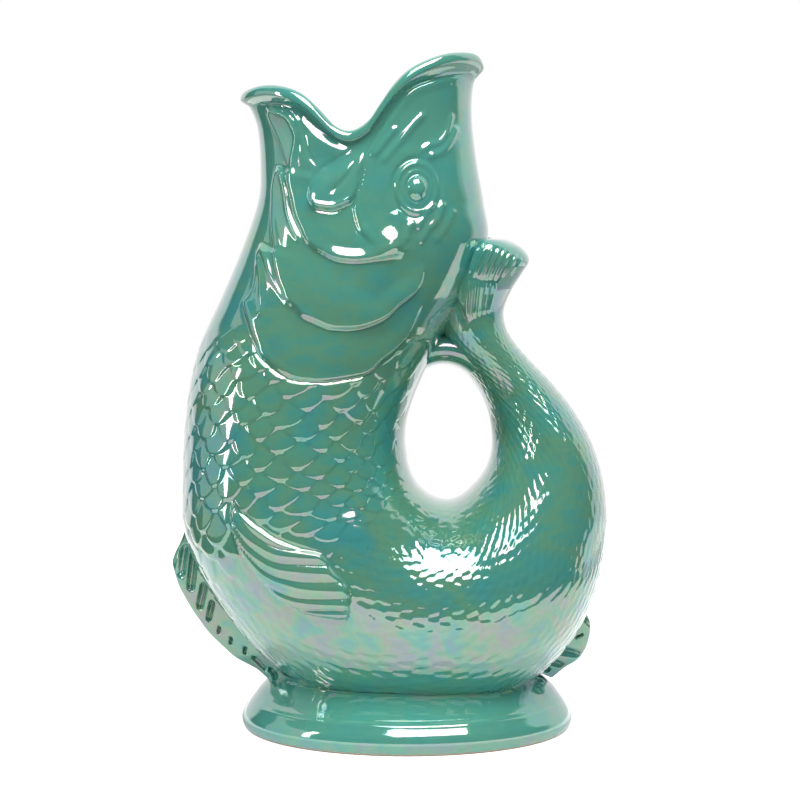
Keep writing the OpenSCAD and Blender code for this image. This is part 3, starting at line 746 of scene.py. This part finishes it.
# Thickness of the lustre's film in nanometres
FILM_NM = (305.0, 465.0)
GLAZE_VALUES = {
    "Thin Film IOR": 1.88, "IOR": 1.7, "Roughness": 0.08, "Coat Weight": 1.0, "Coat IOR": 1.72,
    "Coat Roughness": 0.03}


def lustre_glaze():
    m = bpy.data.materials.new("lustre_glaze")
    tree = node_tree(m)
    link = tree.links.new
    out = node(tree, "ShaderNodeOutputMaterial")
    glaze = node(tree, "ShaderNodeBsdfPrincipled", **GLAZE_VALUES)
    link(glaze.outputs[0], out.inputs[0])
    place = node(tree, "ShaderNodeTexCoord").outputs["Object"]
    drift = noise(tree, place, Scale=22.0, Detail=3.0, Roughness=0.5, Distortion=0.4)
    # Finer mottling over the drifts, drawn out sideways as the glaze was brushed
    stretch = node(tree, "ShaderNodeMapping", Scale=(0.45, 0.45, 1))
    link(place, stretch.inputs["Vector"])
    mottle = noise(tree, stretch.outputs[0], Scale=130.0, Detail=3.0, Roughness=0.6)
    shift = arithmetic(tree, "MULTIPLY_ADD", mottle, MOTTLE_SHARE, -MOTTLE_SHARE / 2)
    both = arithmetic(tree, "ADD", drift, shift)
    drifts = ramp(tree, both, DRIFT_STOPS)
    height = node(tree, "ShaderNodeSeparateXYZ")
    link(place, height.inputs[0])
    share = map_range(tree, height.outputs["Z"], 0.0, JUG_H * MM)
    band = ramp(tree, share, [(at, (grey,) * 3) for at, grey in BLUER_SHARES])
    link(mixed(tree, band, drifts, BLUER_TINT, "RGBA"), glaze.inputs["Base Color"])
    # The lustre's film is thicker and thinner in patches, which turns its sheen pink, gold and blue
    patches = noise(tree, place, Scale=95.0, Detail=4.0, Roughness=0.6, Distortion=0.4)
    film = map_range(tree, patches, 0.3, 0.7, *FILM_NM)
    link(film, glaze.inputs["Thin Film Thickness"])
    # Faint orange-peel of a poured glaze
    peel = bump(tree, noise(tree, place, Scale=260.0, Detail=2.0), 0.12)
    link(peel, glaze.inputs["Normal"])
    link(peel, glaze.inputs["Coat Normal"])
    return m


# Colours of the bare clay ring, darker than the clay itself: partly its own colour, partly painted shade
# for the contact shadow line under the foot
CLAY_AND_SHADOW_DARK, CLAY_AND_SHADOW_LIGHT = (0.42, 0.34, 0.26, 1), (0.58, 0.50, 0.40, 1)


def bare_clay_and_contact_shadow():
    m = bpy.data.materials.new("bare_clay_and_contact_shadow")
    m.use_nodes = True
    tree = m.node_tree
    clay = tree.nodes["Principled BSDF"]
    clay.inputs["Roughness"].default_value = 0.75
    place = node(tree, "ShaderNodeTexCoord").outputs["Object"]
    grain = noise(tree, place, Scale=900.0, Detail=4.0)
    tree.links.new(mixed(tree, grain, CLAY_AND_SHADOW_DARK, CLAY_AND_SHADOW_LIGHT, "RGBA"), clay.inputs["Base Color"])
    tree.links.new(bump(tree, grain, 0.3), clay.inputs["Normal"])
    return m


GLAZE = lustre_glaze()
CLAY_AND_SHADOW = bare_clay_and_contact_shadow()


# Meshes
def linked(name, data):
    obj = bpy.data.objects.new(name, data)
    bpy.context.scene.collection.objects.link(obj)
    return obj


def make(name, verts, faces, normals, replaced, materials=(GLAZE,), face_slots=None):
    """One named piece of the visual model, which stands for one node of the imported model."""
    mesh = bpy.data.meshes.new(name)
    mesh.from_pydata([tuple(v) for v in verts.reshape(-1, 3) * MM], [], [tuple(f) for f in faces])
    mesh.polygons.foreach_set("use_smooth", np.ones(len(mesh.polygons), bool))
    for m in materials:
        mesh.materials.append(m)
    if face_slots is not None:
        mesh.polygons.foreach_set("material_index", np.asarray(face_slots, np.int32))
    mesh.update()
    mesh.normals_split_custom_set_from_vertices([tuple(n) for n in normals.reshape(-1, 3)])
    obj = linked(name, mesh)
    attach(obj, "root")
    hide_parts(replaced)


def grid_faces(rows, columns, wrap=True, flip=False):
    """Four-sided faces of a grid, closed round its columns with wrap."""
    i = np.arange(rows - 1)[:, None] * columns
    j = np.arange(columns if wrap else columns - 1)[None, :]
    k = (j + 1) % columns
    quads = np.stack([i + j, i + k, i + k + columns, i + j + columns], -1).reshape(-1, 4)
    return quads[:, ::-1] if flip else quads


def picked(faces, verts, normals):
    """Only the vertices that these faces use."""
    used, index = np.unique(faces, return_inverse=True)
    return verts[used], index.reshape(faces.shape), normals[used]


def s_values():
    """The stations of the fine grid's rows."""
    out = []
    for low, high, rows in ROWS_PER_STATION:
        n = (high - low) * rows
        out.append(low + (high - low) * np.arange(n) / n)
    return np.concatenate([*out, [FAN_END]])


# Rows for each station of the smooth inside of the jug
INNER_ROWS = 8


def turns_round(count):
    return 2 * math.pi * np.arange(count) / count


def inner_shell(s_from, s_to):
    """The smooth inside of a section, seen from within."""
    s = np.linspace(s_from, s_to, int((s_to - s_from) * INNER_ROWS) + 1)
    grid = skin(s[:, None], turns_round(HALF)[None, :], -WALL)
    return grid.reshape(-1, 3), grid_faces(len(s), HALF)[:, ::-1], -outward(grid).reshape(-1, 3)


def whole_round(near_half):
    """The near half's values after their mirror image on the far half."""
    return np.hstack([near_half[:, :0:-1], near_half[:, :-1]])


def relieved_skin():
    s_list = s_values()
    base = skin(s_list[:, None], turns_round(COLUMNS)[None, :])
    near = Near(s_list, base)
    shaped = base + outward(base) * whole_round(relief(near))[..., None]
    return s_list, near, shaped, outward(shaped)


S_LIST, NEAR, SHAPED, NORMALS = relieved_skin()

# Cutting the skin into its named pieces
JAW_INNER_PX = [
    (390, 246), (376, 246), (366, 239), (358, 226), (355, 212), (344, 210), (330, 214), (316, 212),
    (308, 200), (305, 186), (306, 160), (303, 134), (294, 118), (281, 108)]
JAW_REGION_PX = JAW_EDGE_PX[:-1] + JAW_INNER_PX
COVER_REGION_PX = COVER_EDGE_PX + [(412, 250)] + JAW_EDGE_PX[:-1][::-1][:13]
COLLAR_REGION_PX = COLLAR_EDGE_PX + COVER_EDGE_PX[::-1][:19]


def face_average(grid):
    """Mean over each face of a grid that goes all the way round."""
    a = (grid[:-1] + grid[1:]) / 2
    return (a + np.roll(a, -1, 1)) / 2


SECTIONS = [
    (NECK_AT, "trunk_belly"), (BELLY_END, "trunk_saddle"), (STERN_AT, "tail"), (WRIST_AT, "tail_fin")]
EYE_SOCKET_R_PX, EYEBALL_R_PX = 24, 10.6


def labels():
    """The name of the piece that each face of the skin belongs to."""
    u, v = face_average(whole_round(NEAR.u)), face_average(whole_round(NEAR.v))
    s = (S_LIST[:-1] + S_LIST[1:])[:, None] / 2 + 0 * u
    left = np.broadcast_to(np.arange(COLUMNS) >= HALF, u.shape)
    name = np.full(u.shape, "head", dtype="<U24")
    for start, section in SECTIONS:
        name[s > start] = section
    # A later piece takes the faces that it shares with an earlier one
    regions = [
        ("side_fin", inside(u, v, SIDE_FIN_PX), SIDE_FIN_S),
        ("gill_collar", inside(u, v, COLLAR_REGION_PX), (3.2, 11.5)),
        ("gill_cover", inside(u, v, COVER_REGION_PX), (1.6, 9.5)),
        ("jaw", inside(u, v, JAW_REGION_PX), (0.3, 7.5)),
        ("mouth_fold", inside(u, v, FOLD_PX), FOLD_S),
        ("eye_socket", from_eye(u, v) < EYE_SOCKET_R_PX, EYE_S),
        ("eye", from_eye(u, v) < EYEBALL_R_PX, EYE_S)]
    for piece, region, (low, high) in regions:
        hit = region & (s > low) & (s < high)
        name[hit & left] = "left_" + piece
        name[hit & ~left] = "right_" + piece
    return name


# Stations between which each section is hollow, and how deep the skin goes on inside the foot
HOLLOWS = {
    "head": (0, NECK_AT), "trunk_belly": (NECK_AT, BELLY_END), "trunk_saddle": (BELLY_END, STERN_AT),
    "tail": (STERN_AT, HOLLOW_END)}
SKIN_IN_FOOT = 1.5


def closed_end(v, f, n):
    """The tail fin with its thin end closed: its last ring, a ring half way in, and the middle."""
    ring, at = SHAPED[-1], len(v)
    middle = ring.mean(0)
    band = grid_faces(2, COLUMNS) + at
    tip = np.full(COLUMNS, at + 2 * COLUMNS)
    cap = np.column_stack([band[:, :2] + COLUMNS, tip])
    v = np.vstack([v, ring, middle + (ring - middle) * 0.5, middle])
    n = np.vstack([n, NORMALS[-1], unit(NORMALS[-1] + np.array([0, 0, 2.0])), [[0, 0, 1]]])
    return v, f + band.tolist() + cap.tolist(), n


def cut_skin():
    name = labels()
    faces = grid_faces(len(S_LIST), COLUMNS)
    in_foot = face_average(SHAPED[..., 2]) < FOOT_H - SKIN_IN_FOOT
    kept = (~in_foot | (name == "tail_fin")).reshape(-1)
    flat = name.reshape(-1)
    verts, normals = SHAPED.reshape(-1, 3), NORMALS.reshape(-1, 3)
    for piece in sorted(set(flat)):
        v, f, n = picked(faces[(flat == piece) & kept], verts, normals)
        f = f.tolist()
        if piece in HOLLOWS:
            inner_v, inner_f, inner_n = inner_shell(*HOLLOWS[piece])
            f += (inner_f + len(v)).tolist()
            v, n = np.vstack([v, inner_v]), np.vstack([n, inner_n])
        if piece == "tail_fin":
            v, f, n = closed_end(v, f, n)
        make(piece, v, f, n, "trunk" if piece.startswith("trunk_") else piece)


cut_skin()

# Rolled lip
# Its section: mm out from the wall's outside, mm above the wall's top
LIP_SECTION = [
    (-0.4, -5.6), (0.1, -4.4), (0.5, -3.3), (0.95, -2.2), (1.3, -1.1), (1.5, 0.0), (1.45, 1.1),
    (1.15, 2.1), (0.55, 2.95), (-0.35, 3.46), (-1.4, 3.55), (-2.4, 3.36), (-3.3, 2.8), (-4.0, 1.9),
    (-4.4, 0.8), (-4.5, -0.4), (-4.5, -2.0)]
MM_PER_HEAD_STATION = 8.0
# The roll reaches down less, by this share, in the corners of the mouth
SKIRT_CUT, SKIRT_HALF = 0.42, 0.36


def lip():
    t = turns_round(COLUMNS)
    skirt = 1 - ridge(np.cos(t) - NOTCH_AT, SKIRT_CUT, SKIRT_HALF)
    rows = []
    for out, up in rounded(LIP_SECTION, 3):
        s = max(0, -up) * skirt / MM_PER_HEAD_STATION
        # The inside of the lip stays on the inner wall, which isn't drawn in
        pull = notch_in(s, t) * smooth(out, LIP_SECTION[-1][0], 0.5)
        rows.append(skin(s, t, out - pull) + np.array([0, 0, max(0, up)]))
    grid = np.stack(rows)
    make("mouth_rim", grid, grid_faces(len(rows), COLUMNS), outward(grid), "mouth_rim")


lip()

# Web of clay over the finger loop: an arched ridge, oval in section
WEB_TOP_PX = (443, 362)
WEB_R, WEB_H, WEB_DEPTH = 13.7, 14.5, 30
# The arc's start and length in degrees, and the rows and columns of its grid
WEB_FROM, WEB_TURN = 45, 97
WEB_ROWS, WEB_COLUMNS = 60, 72


def loop_web():
    turn = np.radians(WEB_FROM + WEB_TURN * np.linspace(0, 1, WEB_ROWS))[:, None]
    round_ = turns_round(WEB_COLUMNS)[None, :]
    x, z = grip(*WEB_TOP_PX)
    r = WEB_R + WEB_H / 2 * (1 + np.cos(round_))
    across = WEB_DEPTH / 2 * np.sin(round_) + 0 * turn
    grid = np.stack([x + r * np.cos(turn), across, z - WEB_R + r * np.sin(turn)], -1)
    rise = np.cos(round_) / WEB_H
    sideways = np.sin(round_) / WEB_DEPTH + 0 * turn
    normals = unit(np.stack([rise * np.cos(turn), sideways, rise * np.sin(turn)], -1))
    make("loop_web", grid, grid_faces(WEB_ROWS, WEB_COLUMNS), normals, "tail")


loop_web()

# Foot
# Its section at its two ends and at its front and back: half width share, height share
FOOT_ENDS = [
    (0.968, 0.0), (0.977, 0.015), (0.986, 0.045), (0.992, 0.085), (0.997, 0.13), (1, 0.19),
    (0.9965, 0.26), (0.988, 0.335), (0.974, 0.415), (0.956, 0.50), (0.936, 0.585), (0.915, 0.67),
    (0.894, 0.75), (0.872, 0.82), (0.850, 0.885), (0.826, 0.94), (0.800, 0.98), (0.785, 1.01),
    (0.770, 1.045)]
FOOT_FRONT = [
    (0.966, 0.0), (0.975, 0.015), (0.984, 0.045), (0.991, 0.085), (0.996, 0.13), (1, 0.19),
    (0.999, 0.25), (0.994, 0.32), (0.985, 0.37), (0.972, 0.42), (0.958, 0.475), (0.945, 0.53),
    (0.926, 0.56), (0.907, 0.585), (0.895, 0.61), (0.868, 0.66), (0.830, 0.72), (0.785, 0.805),
    (0.740, 0.89), (0.712, 0.94), (0.702, 0.97), (0.672, 0.99), (0.655, 1.01), (0.645, 1.045)]
FOOT_TURNS, FOOT_LEVELS = 360, 120
# The bare clay of the ring that it stands on, taller and darker than the real ring so that it also paints
# the contact shadow line under the foot: up to this height, and outward from this far in its hollow
BARE_AND_SHADOW_H, BARE_IN = 1.0, 0.5


def foot():
    half = FOOT_L / 2
    under = half - FOOT_RING
    rise = FOOT_H - FLOOR_T
    levels = np.linspace(0, FOOT_FRONT[-1][1], FOOT_LEVELS)
    sections = (rounded(table, 8)[:, ::-1].T for table in (FOOT_ENDS, FOOT_FRONT))
    ends_x, front_y = (np.interp(levels, *section) * half for section in sections)
    hollow = [
        (0.5, rise), (under - FLOOR_T, rise), (under - FLOOR_T / 3, rise - FLOOR_T / 2),
        (under, rise - 2 * FLOOR_T), (under, 0.0)]
    # Half length, half width before the oval is narrowed, and height of each ring
    outside = zip(ends_x, front_y, levels * FOOT_H)
    ring = np.array([*((r, r, z) for r, z in hollow), *outside, (half * 0.5, half * 0.5, FOOT_H)])
    x, y, z = ring.T[..., None]
    t = turns_round(FOOT_TURNS)
    grid = np.stack([FOOT_X + x * np.cos(t), y * np.sin(t) * FOOT_DEPTH / FOOT_L, z + 0 * t], -1)
    at = np.repeat((ring[:-1] + ring[1:]) / 2, FOOT_TURNS, axis=0)
    # The bare clay ring, which also stands for a painted contact shadow under the foot
    clay_and_shadow_ring = (at[:, 2] < BARE_AND_SHADOW_H) & (at[:, 0] > under - BARE_IN)
    faces = grid_faces(len(ring), FOOT_TURNS)
    make("foot", grid, faces, outward(grid), "foot", (GLAZE, CLAY_AND_SHADOW), clay_and_shadow_ring)


foot()

# Fins on the middle plane
BELLY_FIN_EDGE_PX = [
    (185, 527), (180, 540), (175, 550), (172, 560), (174, 571), (178, 584), (184, 596), (191, 608),
    (199, 620), (208, 632), (220, 644), (233, 656), (245, 663), (256, 669), (264, 676), (270, 682)]
BELLY_FIN_ROOT_PX = [
    (196, 524), (197, 536), (200, 546), (203, 556), (208, 567), (214, 579), (220, 590), (227, 602),
    (236, 613), (246, 624), (257, 634), (268, 643), (279, 651), (290, 658), (300, 664), (310, 670)]
REAR_FIN_EDGE_PX = [
    (584, 608), (588, 614), (591, 622), (591, 632), (589, 641), (586, 649), (579, 659), (568, 666),
    (560, 672), (553, 678)]
REAR_FIN_ROOT_PX = [
    (578, 604), (576, 610), (573, 616), (570, 622), (566, 628), (561, 634), (554, 642), (545, 650),
    (536, 658), (527, 664)]
# Dimples: one end, other end, half width
BELLY_DIMPLES_PX = [
    ((185, 545), (181, 570), 5.5), ((194, 552), (190, 584), 5.0), ((204, 583), (199, 604), 4.2),
    ((212, 600), (208, 617), 3.2), ((219, 625), (218, 631), 1.5), ((231, 636), (230, 642), 1.4),
    ((245, 646), (244, 652), 1.6), ((254, 657), (264, 668), 3.0), ((270, 669), (279, 680), 3.4)]
REAR_DIMPLES_PX = [
    ((559, 648), (578, 653), 4.4), ((548, 658), (561, 664), 3.4), ((540, 662), (548, 669), 2.8),
    ((577, 635), (583, 633), 1.2)]
# Thickness in mm at the root and at the free edge
BELLY_FIN_T, REAR_FIN_T = (13.0, 5.0), (11.0, 5.0)
FIN_ROWS = 34
# How much thinner a fin is in the middle of a dimple
DIMPLE_SHARE = 0.76


def resample(line, count):
    """So many points at even steps along a line."""
    gaps = np.concatenate([[0], np.cumsum(np.hypot(*np.diff(line, axis=0).T))])
    at = np.linspace(0, gaps[-1], count)
    return np.stack([np.interp(at, gaps, line[:, k]) for k in (0, 1)], -1)


def fin(name, edge, root, thickness, dimples):
    """A cast fin on the middle plane with hollows pressed into both its sides."""
    e = np.array([side(*p) for p in rounded(edge, step=1.6)])
    r = np.array([side(*p) for p in resample(rounded(root, step=1.6), len(e))])
    lift = np.linspace(0, 1, FIN_ROWS)
    root_t, edge_t = thickness
    # It thins toward its edge and rounds over there
    half = (root_t / 2 - (root_t - edge_t) / 2 * lift) * np.sqrt(np.clip(1 - 0.98 * lift**3.2, 0, 1))
    x, z = np.moveaxis(r[:, None] + (e - r)[:, None] * lift[None, :, None], -1, 0)
    width = half[None, :] + 0 * x
    u = x * SIDE_L_PX / JUG_L + SIDE_MID_PX
    v = SIDE_BASE_PX - z * SIDE_H_PX / JUG_H
    for a, b, w in dimples:
        a, b = np.array(a, float), np.array(b, float)
        seg = b - a
        f = np.clip(((u - a[0]) * seg[0] + (v - a[1]) * seg[1]) / (seg @ seg), 0, 1)
        gap = np.hypot(u - a[0] - f * seg[0], v - a[1] - f * seg[1])
        width = width * (1 - DIMPLE_SHARE * (1 - smooth(gap, w * 0.1, w * 1.1)))
    near_side, far_side = (np.stack([x, y, z], -1) for y in (-width, width))
    grid = np.concatenate([near_side, far_side[:, ::-1]], 1)
    n = unit(np.cross(*differences(grid, wrap=False)))
    # The first columns are on the near side, which faces -Y
    out_sign = np.sign((n[:, :5, 1] * -1).mean())
    faces = grid_faces(*grid.shape[:2], wrap=False, flip=out_sign > 0)
    make(name, grid, faces, n * out_sign, name)


fin("belly_fin", BELLY_FIN_EDGE_PX, BELLY_FIN_ROOT_PX, BELLY_FIN_T, BELLY_DIMPLES_PX)
fin("rear_fin", REAR_FIN_EDGE_PX, REAR_FIN_ROOT_PX, REAR_FIN_T, REAR_DIMPLES_PX)


# Floor, light and camera, in metres
# Sheets of the floor: left, right and front edge
FLOOR_SHEETS = [(-0.25, 0.27, -0.50), (0.37, 1.20, -0.05)]
FLOOR_BACK = 0.60
# Its paint, and how bright it is to the camera and in the glaze
FLOOR_PAINT, FLOOR_SEEN, FLOOR_IN_GLAZE = (0.86, 0.86, 0.86, 1), 0.90, 0.62
# Seen in the glaze its glow is cut round the foot as a painted shadow: from and to so many times the foot's
# size, down to this share
FOOT_SHADE, FOOT_SHADE_SHARE = (1.20, 1.34), 0.2
# The studio in the glaze: a white sweep behind, as wide as its own two sharp edges, and dim walls
SWEEP_FROM, SWEEP_GLOW, WALL_GLOW = (0.06, 0.12), 0.89, 0.06
SWEEP_MIDDLE, SWEEP_EDGE = 0.115, (0.81, 0.86)
# Below the horizon the sweep is duller
HORIZON, BELOW_SHARE = (-0.34, -0.08), 0.62
ROOM_LIGHT = 0.25
# Degrees round from the front (+ toward the tail) and up, metres away, width, height, power
LAMPS = {
    "front_box": (18, 61, 1.20, 0.92, 0.76, 17.6), "left_box": (-84, 6, 1.05, 0.80, 0.8, 1.2),
    "left_strip": (-64, 12, 1.00, 0.10, 0.6, 1.8)}
CLIP_END = 50


def floor():
    mesh = bpy.data.meshes.new("floor")
    corners = [
        (x, y, 0) for left, right, front in FLOOR_SHEETS
        for x, y in ((left, front), (right, front), (right, FLOOR_BACK), (left, FLOOR_BACK))]
    mesh.from_pydata(corners, [], [(0, 1, 2, 3), (4, 5, 6, 7)])
    obj = linked("floor", mesh)
    m = bpy.data.materials.new("studio_floor")
    tree = node_tree(m)
    link = tree.links.new
    out = node(tree, "ShaderNodeOutputMaterial")
    paint = node(tree, "ShaderNodeBsdfDiffuse", Color=FLOOR_PAINT)
    place = node(tree, "ShaderNodeTexCoord")
    oval = node(tree, "ShaderNodeMapping", Location=(-FOOT_X / (FOOT_L / 2), 0, 0),
                Scale=(2 / (FOOT_L * MM), 2 / (FOOT_DEPTH * MM), 1))
    link(place.outputs["Object"], oval.inputs["Vector"])
    from_foot = node(tree, "ShaderNodeVectorMath", operation="LENGTH")
    link(oval.outputs[0], from_foot.inputs[0])
    # The floor's glow in the glaze is cut down round the foot: a painted shadow
    clear = map_range(tree, from_foot.outputs["Value"], *FOOT_SHADE, FOOT_SHADE_SHARE)
    path = node(tree, "ShaderNodeLightPath")
    seen = arithmetic(tree, "MULTIPLY", path.outputs["Is Glossy Ray"], clear)
    gloss = arithmetic(tree, "MULTIPLY", seen, FLOOR_IN_GLAZE)
    level = arithmetic(tree, "MULTIPLY_ADD", path.outputs["Is Camera Ray"], FLOOR_SEEN, gloss)
    glow = node(tree, "ShaderNodeEmission")
    link(level, glow.inputs["Strength"])
    both = node(tree, "ShaderNodeAddShader")
    link(paint.outputs[0], both.inputs[0])
    link(glow.outputs[0], both.inputs[1])
    link(both.outputs[0], out.inputs[0])
    mesh.materials.append(m)


def world():
    """White behind and beside the jug, dim in front and above, as in a studio sweep."""
    w = bpy.data.worlds.new("studio")
    bpy.context.scene.world = w
    tree = node_tree(w)
    link = tree.links.new
    out = node(tree, "ShaderNodeOutputWorld")
    sky = node(tree, "ShaderNodeBackground", Color=(1, 1, 1, 1))
    link(sky.outputs[0], out.inputs[0])
    place = node(tree, "ShaderNodeTexCoord")
    split = node(tree, "ShaderNodeSeparateXYZ")
    link(place.outputs["Generated"], split.inputs[0])
    behind = map_range(tree, split.outputs["Y"], *SWEEP_FROM, 0.0, SWEEP_GLOW)
    offset = arithmetic(tree, "SUBTRACT", split.outputs["X"], SWEEP_MIDDLE)
    across = arithmetic(tree, "ABSOLUTE", offset)
    within = map_range(tree, across, *SWEEP_EDGE, 1.0, 0.0)
    below = map_range(tree, split.outputs["Z"], *HORIZON, BELOW_SHARE)
    duller = arithmetic(tree, "MULTIPLY", within, below)
    sweep = arithmetic(tree, "MULTIPLY_ADD", behind, duller, WALL_GLOW)
    path = node(tree, "ShaderNodeLightPath")
    room = mixed(tree, path.outputs["Is Glossy Ray"], ROOM_LIGHT, sweep)
    link(mixed(tree, path.outputs["Is Camera Ray"], room, 1.0), sky.inputs["Strength"])


def aim(obj, at, to):
    obj.location = at
    obj.rotation_mode = "QUATERNION"
    obj.rotation_quaternion = (to - at).to_track_quat("-Z", "Y")


def softbox(name, turn, lift, away, wide, tall, power):
    """A lamp that faces the middle of the jug."""
    turn, lift = math.radians(turn), math.radians(lift)
    to = Vector((0.0, 0.0, JUG_H * MM / 2))
    way = Vector((math.cos(lift) * math.sin(turn), -math.cos(lift) * math.cos(turn), math.sin(lift)))
    lamp = bpy.data.lights.new(name, "AREA")
    lamp.shape = "RECTANGLE"
    lamp.size, lamp.size_y = wide, tall
    lamp.energy = power
    aim(linked(name, lamp), to + away * way, to)


def camera():
    data = bpy.data.cameras.new("camera")
    data.lens = LENS_PX * SENSOR / IMAGE_PX
    data.sensor_width = SENSOR
    data.clip_end = CLIP_END
    obj = linked("camera", data)
    aim(obj, Vector(CAMERA_AT * MM), Vector(CAMERA_TO * MM))
    bpy.context.scene.camera = obj


floor()
world()
for lamp_name, values in LAMPS.items():
    softbox(lamp_name, *values)
camera()
bpy.context.scene.view_settings.view_transform = "Standard"
